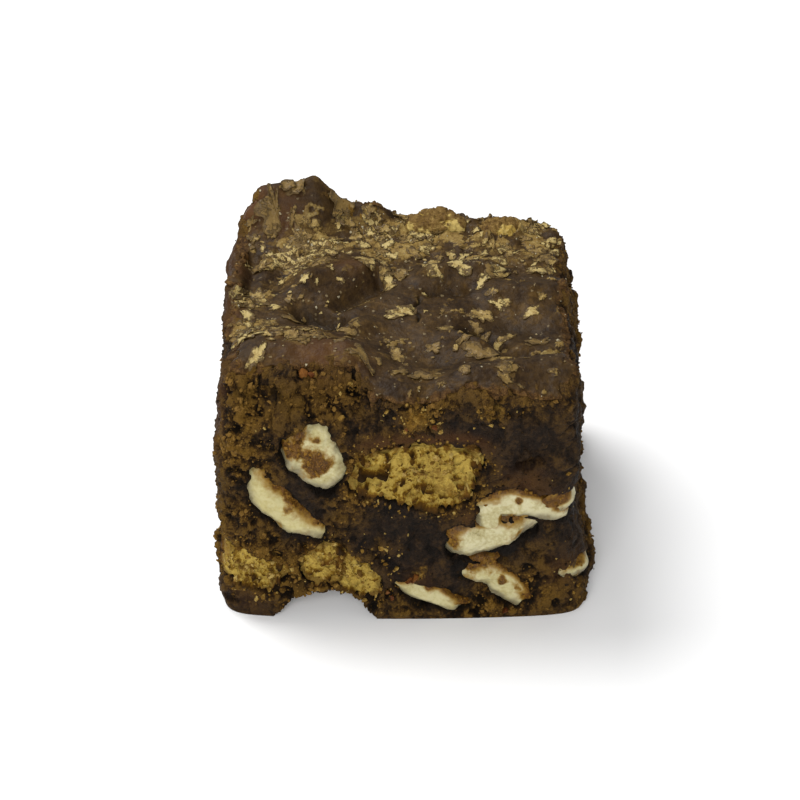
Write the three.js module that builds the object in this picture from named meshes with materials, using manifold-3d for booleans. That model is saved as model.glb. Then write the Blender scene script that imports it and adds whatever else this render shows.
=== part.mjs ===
// A cut square of chocolate brownie with biscuit pieces and lumps of white chocolate baked into it.
// Millimetres, +Z up. It rests on z = 0, centred on the origin; the cut face that shows best looks along -Y.
import * as THREE from 'three';
import { mergeVertices } from 'three/addons/utils/BufferGeometryUtils.js';
import Module from 'manifold-3d';

const wasm = await Module();
wasm.setup();

// Driving sizes of the slice
const width = 56; // across the front edge of the top
const depth = 56; // from the front cut to the back cut
const height = 44; // to the flat parts of the top
const cornerSharpness = 14; // exponent of the rounded square seen from above: higher is sharper
const rimDrop = 0.9; // how far the top falls at its very edge
const clearance = 0.3; // gap between a baked-in piece and the crumb round it

// How finely the slice is divided, and how rough its faces are
const cells = { across: 23, along: 23, up: 17 };
const crumbRelief = 1.5; // the lumps and hollows of the cut faces
const crustRelief = 0.5; // the wrinkles of the crust
const pieceRelief = 0.35; // share of that relief on the baked-in pieces, which stay smoother
const reliefSize = 4.4; // width of one lump
const shortestEdge = 0.01; // finer slivers that cutting leaves are taken out
const flatBase = 0.06; // share of the height over which the relief fades out above the base

// Repeatable noise
function latticeValue(i, j, k, seed) {
  let h = Math.imul(i, 374761393) + Math.imul(j, 668265263) + Math.imul(k, 1442695041);
  h = Math.imul(h + Math.imul(seed, 974634777), 1274126177);
  h = Math.imul(h ^ (h >>> 13), 1540483477);
  h = Math.imul(h ^ (h >>> 16), 1274126177);
  return ((h ^ (h >>> 15)) >>> 0) / 2 ** 31 - 1;
}

const rise = THREE.MathUtils.smoothstep;
const blend = THREE.MathUtils.lerp;
const bell = (t) => Math.exp(-t * t);

function noise(x, y, z, seed) {
  const [i, j, k] = [Math.floor(x), Math.floor(y), Math.floor(z)];
  const [u, v, w] = [rise(x - i, 0, 1), rise(y - j, 0, 1), rise(z - k, 0, 1)];
  const row = (b, c) => blend(latticeValue(i, j + b, k + c, seed), latticeValue(i + 1, j + b, k + c, seed), u);
  return blend(blend(row(0, 0), row(1, 0), v), blend(row(0, 1), row(1, 1), v), w);
}

// Two octaves of noise, the second with half the lump size
function lumps(x, y, z, size, seed) {
  const coarse = noise(x / size, y / size, z / size, seed);
  const fine = noise((2 * x) / size, (2 * y) / size, (2 * z) / size, seed + 1);
  return 0.7 * coarse + 0.3 * fine;
}

// Humps and hollows of the top: each is a bell round the line from one point to another
const folds = [
  { from: [-15.5, 5.0], to: [-7.0, 8.2], halfWidth: 3.6, lift: 2.7 }, // long glossy fold left of the middle
  { from: [-3.6, 5.8], to: [-9.4, -0.4], halfWidth: 1.8, lift: -2.2 }, // crease along its right side
  { from: [-15.4, -3.2], to: [-11.0, -5.7], halfWidth: 2.4, lift: -4.0 }, // deep hollow in front of it
  { from: [-8.0, -8.6], to: [-5.2, -7.6], halfWidth: 2.0, lift: 1.3 }, // small mound beside the hollow
  { from: [-20.5, 6.0], to: [-19.0, 13.0], halfWidth: 2.6, lift: -1.2 }, // trough along its left side
  { from: [6.0, 7.0], to: [14.0, 8.4], halfWidth: 2.7, lift: 2.4 }, // small fold behind the middle
  { from: [5.4, 3.4], to: [9.6, 4.2], halfWidth: 1.8, lift: -2.0 }, // crease in front of the small fold
  { from: [-23.0, 26.0], to: [-16.5, 26.6], halfWidth: 4.6, lift: 7.6 }, // raised back left corner
  { from: [-12.5, 26.6], to: [-3.5, 27.0], halfWidth: 3.4, lift: 3.4 }, // its shoulder, falling to the right
  { from: [-27.9, 2.0], to: [-27.9, 14.0], halfWidth: 1.6, lift: 1.3 }, // lip along the left edge
  { from: [-25.2, 3.0], to: [-25.4, 14.0], halfWidth: 1.6, lift: -1.3 }, // groove inside the lip
  { from: [-22.0, -18.0], to: [-9.0, -18.4], halfWidth: 6.0, lift: 3.0 }, // domed crust at the front left
  { from: [-20.5, -12.8], to: [-14.0, -12.6], halfWidth: 2.4, lift: 1.2 }, // crest at the back of the dome
  { from: [-2.0, -14.0], to: [6.0, -18.0], halfWidth: 4.6, lift: -1.4 }, // basin beside the dome
  { from: [11.0, -22.6], to: [26.0, -20.4], halfWidth: 3.4, lift: 1.8 }, // smooth band at the front right
  { from: [14.6, -16.2], to: [26.0, -15.4], halfWidth: 1.6, lift: -1.3 }, // crease behind the band
  { from: [8.8, -11.6], to: [15.0, -16.0], halfWidth: 1.8, lift: 1.6 }, // ridge between crease and crevice
  { from: [11.6, -8.8], to: [15.8, -12.4], halfWidth: 1.9, lift: -3.2 }, // crevice behind the ridge
  { from: [17.0, -6.4], to: [24.0, -9.4], halfWidth: 4.2, lift: -1.6 }, // smooth basin at the right
  { from: [16.6, 1.2], to: [26.4, 3.6], halfWidth: 3.2, lift: 1.7 }, // hump behind the basin
];

function foldLift(fold, x, y) {
  const line = new THREE.Line3(new THREE.Vector3(...fold.from, 0), new THREE.Vector3(...fold.to, 0));
  const here = new THREE.Vector3(x, y, 0);
  const near = line.closestPointToPoint(here, true, new THREE.Vector3());
  return fold.lift * bell(here.distanceTo(near) / fold.halfWidth);
}

const topHeight = (x, y) => folds.reduce((z, fold) => z + foldLift(fold, x, y), height);

// Half the width at a height: the sides spread below, most of all at the lower right
const leftHalf = (z) => width / 2 + 0.2 + 1.5 * bell((z - 22) / 13) + 1.7 * bell((z - 3) / 7);

function rightHalf(z) {
  const foot = 4.0 * bell((z - 4) / 9);
  const shoulder = 0.9 * bell((z - 25) / 5) + 1.5 * bell((z - 35) / 6);
  return width / 2 - 0.2 + foot + shoulder;
}

// The front swells at the base, and its upper left part has crumbled back from the edge of the crust
const crumbled = { from: -31, to: -3.5, soft: 3.5, bottom: 35, top: 47, back: 6.6 };

function frontHalf(x, z) {
  const swell = 1.5 * bell(z / 9) * (1 - (x / 31) ** 2);
  const leftSide = rise(x, crumbled.from, crumbled.from + crumbled.soft);
  const rightSide = rise(x, crumbled.to - crumbled.soft, crumbled.to);
  const lost = crumbled.back * (leftSide - rightSide) * rise(z, crumbled.bottom, crumbled.top);
  return depth / 2 + swell - lost;
}

// The back bulges under its raised corner and a little at the base
const backHalf = (x, z) => depth / 2 + 1.3 * bell((x + 18) / 9) * rise(z, 34, 48) + 0.8 * bell(z / 10);

// A point of the slice from its place in a block: -1 to 1 across and along, 0 to 1 up
function slicePoint(across, along, up, relief) {
  const [w, d] = [Math.abs(across), Math.abs(along)];
  const rim = Math.max(w, d);
  const round = (w ** cornerSharpness + d ** cornerSharpness) ** (1 / cornerSharpness);
  const pull = round > 0 ? rim / round : 1;
  const [a, b] = [across * pull, along * pull];
  const level = up * height;
  const x = a * (a < 0 ? leftHalf(level) : rightHalf(level));
  const y = b * (b < 0 ? frontHalf(x, level) : backHalf(x, level));
  const z = up * (topHeight(x, y) - rimDrop * rim ** 24);
  const side = rise(rim, 0.9, 1);
  const rough = relief * blend(crustRelief, crumbRelief, side) * rise(up, 0, flatBase);
  const push = [11, 23, 37].map((seed) => rough * lumps(x, y, z, reliefSize, seed));
  return [x + push[0], y + push[1], z + push[2]];
}

// Moves every vertex of a closed geometry by a function of its place; a mirrored one is turned right side out
function reshape(geometry, place, mirrored = false) {
  geometry.deleteAttribute('normal');
  geometry.deleteAttribute('uv');
  const merged = mergeVertices(geometry, 1e-5);
  const position = merged.getAttribute('position');
  for (let n = 0; n < position.count; n++) {
    position.setXYZ(n, ...place(position.getX(n), position.getY(n), position.getZ(n)));
  }
  const corners = merged.index.array;
  for (let n = 0; mirrored && n < corners.length; n += 3) {
    [corners[n], corners[n + 1]] = [corners[n + 1], corners[n]];
  }
  return merged;
}

function solidOf(merged) {
  const vertProperties = new Float32Array(merged.getAttribute('position').array);
  const triVerts = new Uint32Array(merged.index.array);
  return new wasm.Manifold(new wasm.Mesh({ numProp: 3, vertProperties, triVerts }));
}

function geometryOf(solid) {
  const mesh = solid.getMesh();
  const geometry = new THREE.BufferGeometry();
  geometry.setAttribute('position', new THREE.BufferAttribute(new Float32Array(mesh.vertProperties), 3));
  geometry.setIndex(new THREE.BufferAttribute(new Uint32Array(mesh.triVerts), 1));
  geometry.computeVertexNormals();
  return geometry;
}

// The largest body that cutting left, without the slivers along its cuts
function cleaned(solid) {
  const bodies = solid.asOriginal().simplify(shortestEdge).decompose();
  return bodies.reduce((big, body) => (body.volume() > big.volume() ? body : big));
}

function slice(relief) {
  const block = new THREE.BoxGeometry(2, 2, 1, cells.across, cells.along, cells.up);
  return solidOf(reshape(block, (x, y, z) => slicePoint(x, y, z + 0.5, relief)));
}

// A ball stretched to three radii, with its surface pushed in and out by noise
function lumpSolid({ centre, radii }, grow, roughness, seed) {
  const ball = new THREE.IcosahedronGeometry(1, 2);
  return solidOf(
    reshape(ball, (x, y, z) => {
      const swell = 1 + roughness * noise(1.6 * x + seed, 1.6 * y, 1.6 * z, seed);
      const point = new THREE.Vector3(x * radii[0], y * radii[1], z * radii[2]).multiplyScalar(swell);
      point.add(new THREE.Vector3(x, y, z).multiplyScalar(grow));
      return point.add(new THREE.Vector3(...centre)).toArray();
    }),
  );
}

// Hollows of the slice
const hollows = [
  { centre: [-12.4, -29.6, -0.8], radii: [8.2, 8.6, 5.6] }, // scoop broken out under the front edge
  { centre: [-22.2, -25.2, 41.8], radii: [3.8, 3.0, 1.0] }, // under the crust at the left
  { centre: [13.2, -28.6, 11.4], radii: [4.8, 3.2, 1.2] }, // under the large white lump
  { centre: [20.9, -28.4, 30.6], radii: [2.8, 2.6, 1.1] }, // right of the middle biscuit
];

// The faces that the pieces come to: s runs along the face, t up it, and reach outwards through it
const faces = {
  front: { half: depth / 2, place: (s, t, reach) => [s, -reach, t], mirrored: true },
  back: { half: depth / 2, place: (s, t, reach) => [s, reach, t], mirrored: false },
  left: { half: width / 2, place: (s, t, reach) => [-reach, s, t], mirrored: false },
  right: { half: width / 2, place: (s, t, reach) => [reach, s, t], mirrored: true },
};
const beyond = 6; // how far a piece is drawn past its face before it is cut off there

// Baked-in pieces. Each is one or two bent ovals, given by three points of a curve in the face and half a thickness.
// The biscuit runs through to the opposite face and strays sideways and up on its way. The white lumps end in the
// crumb, deep in from their face.
const biscuits = [
  {
    name: 'biscuit_middle',
    face: 'front',
    arcs: [{ line: [[-7.6, 27.2], [3.2, 29.6], [13.4, 26.8]], half: 6.0 }],
    stray: [2.4, 0.8],
  },
  {
    name: 'biscuit_base_left',
    face: 'front',
    arcs: [{ line: [[-32.0, 10.4], [-25.5, 11.0], [-19.4, 6.8]], half: 3.6 }],
    stray: [6.4, 0.6],
  },
  {
    name: 'biscuit_base_middle',
    face: 'front',
    arcs: [{ line: [[-16.4, 11.4], [-10.4, 10.6], [-3.0, 6.0]], half: 3.7 }],
    stray: [7.0, -0.6],
  },
];
const whiteLumps = [
  {
    name: 'white_lump_upper_left',
    face: 'front',
    arcs: [{ line: [[-17.0, 36.0], [-13.6, 31.0], [-10.6, 26.4]], half: 3.9 }],
    deep: 15,
  },
  {
    name: 'white_lump_left',
    face: 'front',
    arcs: [{ line: [[-22.2, 28.4], [-21.6, 19.8], [-12.2, 17.6]], half: 3.0 }],
    deep: 17,
  },
  {
    name: 'white_lump_right',
    face: 'front',
    arcs: [
      { line: [[13.8, 20.2], [18.4, 25.0], [26.6, 19.6]], half: 3.0 },
      { line: [[7.2, 15.2], [14.2, 14.6], [21.4, 18.2]], half: 2.9 },
    ],
    deep: 20,
  },
  {
    name: 'white_lump_base_right',
    face: 'front',
    arcs: [{ line: [[11.2, 8.8], [18.0, 8.9], [20.4, 2.2]], half: 2.7 }],
    deep: 18,
  },
  {
    name: 'white_lump_base_middle',
    face: 'front',
    arcs: [{ line: [[-0.4, 6.4], [5.0, 5.2], [10.8, 2.2]], half: 1.7 }],
    deep: 12,
  },
  {
    name: 'white_bit_upper_right',
    face: 'right',
    arcs: [{ line: [[-27.4, 21.6], [-24.4, 22.6], [-20.2, 20.4]], half: 1.7 }],
    deep: 5,
  },
  {
    name: 'white_bit_lower_right',
    face: 'right',
    arcs: [{ line: [[-26.6, 8.4], [-23.0, 7.0], [-18.8, 7.6]], half: 1.8 }],
    deep: 6,
  },
  {
    name: 'white_lump_right_side',
    face: 'right',
    arcs: [{ line: [[4.0, 29.4], [9.6, 32.6], [15.8, 28.6]], half: 2.9 }],
    deep: 14,
  },
  {
    name: 'white_lump_left_side',
    face: 'left',
    arcs: [{ line: [[0.6, 24.2], [6.4, 28.8], [12.6, 24.4]], half: 3.0 }],
    deep: 14,
  },
  {
    name: 'white_lump_back',
    face: 'back',
    arcs: [{ line: [[-20.6, 22.4], [-15.4, 26.6], [-12.2, 33.2]], half: 3.1 }],
    deep: 14,
  },
];
const outlineSteps = 14; // points round an outline
const outlineBluntness = 2.6; // exponent of the oval: higher is squarer

// A point of a bent oval in its face: out to its rim at size 1, and past the rim by grow
function arcPoint({ line, half }, angle, size, grow, turn) {
  const curve = new THREE.QuadraticBezierCurve(...line.map((point) => new THREE.Vector2(...point)));
  const [c, s] = [Math.cos(angle), Math.sin(angle)];
  const oval = (Math.abs(c) ** outlineBluntness + Math.abs(s) ** outlineBluntness) ** (-1 / outlineBluntness);
  const radius = size * oval * (1 + 0.09 * Math.sin(3 * angle + turn) + 0.05 * Math.sin(5 * angle + 2 * turn));
  const along = (1 + c * radius) / 2;
  const onCurve = THREE.MathUtils.clamp(along, 0, 1);
  const middle = curve.getPoint(onCurve);
  const way = curve.getTangent(onCurve);
  const past = (along - onCurve) * curve.getLength() + grow * c;
  const out = half * s * radius + grow * Math.sign(s) * Math.sqrt(Math.abs(s));
  return [middle.x + way.x * past - way.y * out, middle.y + way.y * past + way.x * out];
}

function arcSolid(piece, arc, grow) {
  const face = faces[piece.face];
  const outer = face.half + beyond;
  const inner = piece.stray ? -outer : face.half - piece.deep - grow;
  const stations = piece.stray ? 8 : 4;
  const [strayAcross, strayUp] = piece.stray ?? [0, 0];
  const tube = new THREE.CylinderGeometry(1, 1, 1, outlineSteps, stations);
  const [phase] = arc.line[0];
  const place = (x, y, z) => {
    const inward = 0.5 - y;
    const astray = Math.sin(Math.PI * inward) ** 2;
    const size = piece.stray ? 1 : Math.sqrt(1 - 0.8 * rise(inward, 0.4, 1));
    const rim = Math.hypot(x, z);
    const [s, t] = arcPoint(arc, Math.atan2(z, x), rim * size, rim * grow, phase + (piece.stray ? inward : 0));
    return face.place(s + strayAcross * astray, t + strayUp * astray, blend(outer, inner, inward));
  };
  return solidOf(reshape(tube, place, face.mirrored));
}

function pieceSolid(piece, grow) {
  return piece.arcs.map((arc) => arcSolid(piece, arc, grow)).reduce((whole, part) => whole.add(part));
}

// Lumps of biscuit that stand out of the top at the back edge
const topLumps = [
  { name: 'biscuit_lump_back', centre: [6.0, 24.4, 44.0], radii: [5.6, 3.3, 2.7] },
  { name: 'biscuit_lump_back_right', centre: [17.2, 22.6, 43.8], radii: [4.0, 3.7, 2.7] },
];
const topLumpRoughness = 0.12;

// Flakes of crust lying on the top, the largest first. Each goes to the roomiest of a few random places, and the back
// of the top and its left edge hold most of them.
const flakes = {
  count: 34,
  largest: 3.3, // half the length of the first
  smallest: 1.3,
  thickness: 0.55,
  sides: 7,
  tries: 9, // random places to choose from
  margin: 2.5, // from the edges of the top
  leftEdgeShare: 0.2,
  leftEdgeBand: 4,
  seed: 5,
};

function randomStream(seed) {
  let drawn = 0;
  return () => {
    drawn += 1;
    return (latticeValue(drawn, 3, 9, seed) + 1) / 2;
  };
}

function flakeSpots() {
  const random = randomStream(flakes.seed);
  const spots = [];
  const mostRoom = 8;
  const overlap = 2;
  const half = { x: width / 2 - flakes.margin, y: depth / 2 - flakes.margin };
  for (let n = 0; n < flakes.count; n++) {
    const size = blend(flakes.largest, flakes.smallest, Math.sqrt(n / flakes.count));
    const tried = [];
    for (let k = 0; k < flakes.tries; k++) {
      const atLeftEdge = random() < flakes.leftEdgeShare;
      const x = atLeftEdge ? -half.x + flakes.leftEdgeBand * random() : half.x * (2 * random() - 1);
      const y = half.y * (atLeftEdge ? 2 * random() - 1 : 1 - 2 * random() ** 2);
      const roomTo = (x0, y0, radius) => Math.hypot(x - x0, y - y0) - size - radius;
      const toLumps = topLumps.map(({ centre, radii }) => roomTo(centre[0], centre[1], radii[0] + clearance));
      const toFlakes = spots.map((spot) => roomTo(spot.x, spot.y, spot.size));
      const room = Math.min(mostRoom, ...toLumps, ...toFlakes.map((gap) => gap + overlap));
      tried.push({ x, y, size, turn: 2 * Math.PI * random(), tilt: random(), room });
    }
    const best = tried.reduce((a, b) => (b.room > a.room ? b : a));
    if (best.room > 0) {
      spots.push(best);
    }
  }
  return spots;
}

function flakeSolid({ x: x0, y: y0, size, turn, tilt }, index) {
  const plate = new THREE.CylinderGeometry(1, 1, 1, flakes.sides, 1);
  const place = (x, y, z) => {
    const jag = 1 + 0.35 * latticeValue(Math.round(4 * (x + 2)), Math.round(4 * (z + 2)), index, 2);
    const [u, v] = [size * x * jag, 0.7 * size * z * jag];
    const px = x0 + u * Math.cos(turn) + v * Math.sin(turn);
    const py = y0 - u * Math.sin(turn) + v * Math.cos(turn);
    const raised = (0.3 + 0.5 * tilt * (1 + x)) * flakes.thickness;
    const z0 = topHeight(px, py) + raised;
    return [px, py, y > 0 ? z0 + flakes.thickness / 2 : z0 - 3 * flakes.thickness];
  };
  return solidOf(reshape(plate, place, true));
}

// The pieces are cut to the slice's own faces, and the later ones give way to those before them
const smoother = slice(pieceRelief);
const bakedIn = [];
for (const piece of [...biscuits, ...whiteLumps]) {
  let solid = pieceSolid(piece, 0).intersect(smoother);
  for (const earlier of bakedIn) {
    solid = solid.subtract(earlier.pocket);
  }
  bakedIn.push({ name: piece.name, solid: cleaned(solid), pocket: pieceSolid(piece, clearance) });
}
for (const lump of topLumps) {
  const seed = lump.centre[0];
  const solid = lumpSolid(lump, 0, topLumpRoughness, seed);
  bakedIn.push({ name: lump.name, solid, pocket: lumpSolid(lump, clearance, topLumpRoughness, seed) });
}

let crumb = slice(1);
flakeSpots().forEach((spot, index) => {
  crumb = crumb.add(flakeSolid(spot, index));
});
for (const hollow of hollows) {
  crumb = crumb.subtract(lumpSolid(hollow, 0, 0, 0));
}
for (const { pocket } of bakedIn) {
  crumb = crumb.subtract(pocket);
}

const looks = {
  brownie: { color: 0x3a2817, roughness: 0.75 },
  biscuit: { color: 0x9c7638, roughness: 0.8 },
  white: { color: 0xcfc59f, roughness: 0.5 },
};

const group = new THREE.Group();
group.name = 'chocolate_brownie';

function addMesh(name, solid) {
  const material = new THREE.MeshStandardMaterial(looks[name.split('_')[0]]);
  material.name = name.split('_')[0];
  const mesh = new THREE.Mesh(geometryOf(solid), material);
  mesh.name = name;
  group.add(mesh);
}

addMesh('brownie', cleaned(crumb));
for (const { name, solid } of bakedIn) {
  addMesh(name, solid);
}

export default group;
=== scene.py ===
# The look of a cut square of chocolate brownie with biscuit and white chocolate baked into it.
# Lengths are in millimetres until a mesh is made.
import math

import bpy
import numpy as np
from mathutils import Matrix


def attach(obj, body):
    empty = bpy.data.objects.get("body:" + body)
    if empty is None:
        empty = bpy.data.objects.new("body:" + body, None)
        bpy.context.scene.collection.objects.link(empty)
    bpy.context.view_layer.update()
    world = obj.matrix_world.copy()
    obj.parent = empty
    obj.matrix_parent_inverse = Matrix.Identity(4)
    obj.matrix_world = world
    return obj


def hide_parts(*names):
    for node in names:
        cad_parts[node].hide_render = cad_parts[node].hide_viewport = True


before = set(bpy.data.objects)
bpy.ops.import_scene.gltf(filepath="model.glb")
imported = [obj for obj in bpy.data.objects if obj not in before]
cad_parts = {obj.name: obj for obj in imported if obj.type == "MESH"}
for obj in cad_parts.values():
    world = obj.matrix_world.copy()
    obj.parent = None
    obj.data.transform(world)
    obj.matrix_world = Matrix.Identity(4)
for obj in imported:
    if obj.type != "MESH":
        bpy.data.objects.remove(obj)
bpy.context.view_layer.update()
mm = 0.001

slab = {
    "width": 56, "depth": 56, "height": 44,
    "corner": 14,  # exponent of the rounded square seen from above
    "rimDrop": 0.9,  # how far the crust falls at its rim
    "crumbRelief": 1.5, "crustRelief": 0.5,
    "pieceShare": 0.35,  # the share of that relief that the baked-in pieces follow
    "lumpSize": 4.4,
    "flatBase": 0.06,  # the share of the height in which the relief grows from nothing
}

# Humps and hollows of the top: from, to, half width, lift
folds = [
    ((-15.5, 5.0), (-7.0, 8.2), 3.6, 2.7),  # long glossy fold left of the middle
    ((-3.6, 5.8), (-9.4, -0.4), 1.8, -2.2),  # crease along its right side
    ((-15.4, -3.2), (-11.0, -5.7), 2.4, -4.0),  # deep hollow in front of it
    ((-8.0, -8.6), (-5.2, -7.6), 2.0, 1.3),  # small mound beside the hollow
    ((-20.5, 6.0), (-19.0, 13.0), 2.6, -1.2),  # trough along its left side
    ((6.0, 7.0), (14.0, 8.4), 2.7, 2.4),  # small fold behind the middle
    ((5.4, 3.4), (9.6, 4.2), 1.8, -2.0),  # crease in front of the small fold
    ((-23.0, 26.0), (-16.5, 26.6), 4.6, 7.6),  # raised back left corner
    ((-12.5, 26.6), (-3.5, 27.0), 3.4, 3.4),  # its shoulder, falling to the right
    ((-27.9, 2.0), (-27.9, 14.0), 1.6, 1.3),  # lip along the left edge
    ((-25.2, 3.0), (-25.4, 14.0), 1.6, -1.3),  # groove inside the lip
    ((-22.0, -18.0), (-9.0, -18.4), 6.0, 3.0),  # domed crust at the front left
    ((-20.5, -12.8), (-14.0, -12.6), 2.4, 1.2),  # crest at the back of the dome
    ((-2.0, -14.0), (6.0, -18.0), 4.6, -1.4),  # basin beside the dome
    ((11.0, -22.6), (26.0, -20.4), 3.4, 1.8),  # smooth band at the front right
    ((14.6, -16.2), (26.0, -15.4), 1.6, -1.3),  # crease behind the band
    ((8.8, -11.6), (15.0, -16.0), 1.8, 1.6),  # ridge between crease and crevice
    ((11.6, -8.8), (15.8, -12.4), 1.9, -3.2),  # crevice behind the ridge
    ((17.0, -6.4), (24.0, -9.4), 4.2, -1.6),  # smooth basin at the right
    ((16.6, 1.2), (26.4, 3.6), 3.2, 1.7),  # hump behind the basin
]

# Hollows of the faces: centre and radii
hollows = [
    ((-12.4, -29.6, -0.8), (8.2, 8.6, 5.6)),  # scoop broken out under the front edge
    ((-22.2, -25.2, 41.8), (3.8, 3.0, 1.0)),  # under the crust at the left
    ((13.2, -28.6, 11.4), (4.8, 3.2, 1.2)),  # under the large white lump
    ((20.9, -28.4, 30.6), (2.8, 2.6, 1.1)),  # right of the middle biscuit
]

# Biscuit: the outline on the front, as three points and a half width, and how far it strays across and up on
# its way to the back; sideRows where its side shows on the left face
biscuits = {
    "biscuit_middle": {"arc": ([(-7.6, 27.2), (3.2, 29.6), (13.4, 26.8)], 6.0), "stray": (2.4, 0.8)},
    "biscuit_base_left": {"arc": ([(-32.0, 10.4), (-25.5, 11.0), (-19.4, 6.8)], 3.6), "stray": (6.4, 0.6),
                          "sideRows": 120},
    "biscuit_base_middle": {"arc": ([(-16.4, 11.4), (-10.4, 10.6), (-3.0, 6.0)], 3.7), "stray": (7.0, -0.6)},
}
# White chocolate: face, depth and outlines
whiteLumps = {
    "white_lump_upper_left": ("front", 15, [([(-17.0, 36.0), (-13.6, 31.0), (-10.6, 26.4)], 3.9)]),
    "white_lump_left": ("front", 17, [([(-22.2, 28.4), (-21.6, 19.8), (-12.2, 17.6)], 3.0)]),
    "white_lump_right": ("front", 20, [([(13.8, 20.2), (18.4, 25.0), (26.6, 19.6)], 3.0),
                                       ([(7.2, 15.2), (14.2, 14.6), (21.4, 18.2)], 2.9),
                                       ([(17.4, 23.6), (13.4, 20.4), (15.4, 14.8)], 1.9)]),
    "white_lump_base_right": ("front", 18, [([(11.2, 8.8), (18.0, 8.9), (20.4, 2.2)], 2.7)]),
    "white_lump_base_middle": ("front", 12, [([(-0.4, 6.4), (5.0, 5.2), (10.8, 2.2)], 1.7)]),
    "white_bit_upper_right": ("right", 5, [([(-27.4, 21.6), (-24.4, 22.6), (-20.2, 20.4)], 1.7)]),
    "white_bit_lower_right": ("right", 6, [([(-26.6, 8.4), (-23.0, 7.0), (-18.8, 7.6)], 1.8)]),
    "white_lump_right_side": ("right", 14, [([(4.0, 29.4), (9.6, 32.6), (15.8, 28.6)], 2.9)]),
    "white_lump_left_side": ("left", 14, [([(0.6, 24.2), (6.4, 28.8), (12.6, 24.4)], 3.0)]),
    "white_lump_back": ("back", 14, [([(-20.6, 22.4), (-15.4, 26.6), (-12.2, 33.2)], 3.1)]),
}
# How far crumb lies over the upper right of a lump, if not fully
lumpFade = {"white_lump_upper_left": 0.3, "white_lump_right": 0.8}
# Biscuit that stands out of the crust: centre and radii
topLumpGrid = (70, 110)  # rings and points round each
topLumps = {
    "biscuit_lump_back": ((6.0, 24.4, 44.0), (5.6, 3.3, 2.7)),
    "biscuit_lump_back_right": ((17.2, 22.6, 43.8), (4.0, 3.7, 2.7)),
}


# Values on whole arrays. The numbers that follow the points in a call are the size of the lumps and a seed

def latticeValue(i, j, k, seed):
    # A repeatable value from -1 to 1 for each lattice point, by multiplying and shifting its whole numbers
    i, j, k = (np.asarray(n).astype(np.int64).astype(np.uint32) for n in (i, j, k))
    h = i * np.uint32(374761393) + j * np.uint32(668265263) + k * np.uint32(1442695041)
    h = (h + np.uint32(seed * 974634777 & 0xFFFFFFFF)) * np.uint32(1274126177)
    h = (h ^ (h >> np.uint32(13))) * np.uint32(1274126177)
    h = (h ^ (h >> np.uint32(16))) * np.uint32(1274126177)
    return (h ^ (h >> np.uint32(15))).astype(float) / 2**31 - 1


def rise(x, start, end):
    # 0 before start, 1 past end, and 3t^2 - 2t^3 between them
    t = np.clip((x - start) / (end - start), 0, 1)
    return t * t * (3 - 2 * t)


def bell(t):
    # 1 at zero, falling to nothing on both sides as e^(-t^2)
    return np.exp(-t * t)


def noise(points, size, seed):
    # Lattice values blended smoothly between the eight corners of each cell
    q = points / size
    base = np.floor(q)
    t = q - base
    t = t * t * (3 - 2 * t)
    total = 0
    for a, b, c in np.ndindex(2, 2, 2):
        weight = (t[..., 0] if a else 1 - t[..., 0]) * (t[..., 1] if b else 1 - t[..., 1])
        weight = weight * (t[..., 2] if c else 1 - t[..., 2])
        total = total + weight * latticeValue(base[..., 0] + a, base[..., 1] + b, base[..., 2] + c, seed)
    return total


def lumpNoise(points, size, seed):
    # Noise of two sizes
    return 0.7 * noise(points, size, seed) + 0.3 * noise(points, size / 2, seed + 1)


def noiseVector(points, size, seed):
    return np.stack([lumpNoise(points, size, seed + n) for n in (0, 12, 26)], -1)


def grains(points, size, seed):
    # Round grains: from each point the distance d to the nearest of the scattered grain centres, then the
    # height of a ball there, the root of 1 - (d / r)^2
    q = points / size + 0.3 * noiseVector(points, 1.3 * size, seed + 5)
    base = np.floor(q)
    nearest = np.full(q.shape[:-1], 9.0)
    for offset in np.ndindex(3, 3, 3):
        cell = base + np.array(offset) - 1
        jitter = np.stack([latticeValue(*np.moveaxis(cell, -1, 0), seed + n) for n in range(3)], -1)
        centre = cell + 0.5 + 0.42 * jitter
        nearest = np.minimum(nearest, ((q - centre) ** 2).sum(-1))
    return np.sqrt(np.clip(1 - nearest / 0.75, 0, 1))


def crumble(points, size, seed):
    # Broken crumb: noise folded at zero, so that round clumps meet in sharp creases, at three sizes
    bent = points + 0.35 * size * noiseVector(points, 0.7 * size, seed)
    height = 0
    for n, (part, lift) in enumerate(((1.0, 0.5), (0.47, 0.32), (0.23, 0.18))):
        height = height + lift * np.minimum(2.2 * np.abs(noise(bent, part * size, seed + 31 + n)), 1)
    return height


def fractal(points, size, seed, octaves=4, gain=0.55):
    # Octaves of noise, each half as wide as the last
    total, weight, sumOfWeights = 0, 1.0, 0.0
    for n in range(octaves):
        total = total + weight * noise(points + 17.3 * n, size / 2**n, seed + n)
        sumOfWeights += weight
        weight *= gain
    return total / sumOfWeights


# The slab that every piece is cut to

def topHeight(x, y):
    # The level of the top plus a bell round each fold's line
    z = np.full(np.shape(x), float(slab["height"]))
    for (x0, y0), (x1, y1), halfWidth, lift in folds:
        dx, dy = x1 - x0, y1 - y0
        t = np.clip(((x - x0) * dx + (y - y0) * dy) / (dx * dx + dy * dy), 0, 1)
        z = z + lift * bell(np.hypot(x - x0 - t * dx, y - y0 - t * dy) / halfWidth)
    return z


def leftHalf(z):
    # How far the left side stands from the middle at each level, with a swell at half height and at the foot
    return slab["width"] / 2 + 0.2 + 1.5 * bell((z - 22) / 13) + 1.7 * bell((z - 3) / 7)


def rightHalf(z):
    foot = 4.0 * bell((z - 4) / 9)
    return slab["width"] / 2 - 0.2 + foot + 0.9 * bell((z - 25) / 5) + 1.5 * bell((z - 35) / 6)


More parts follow.
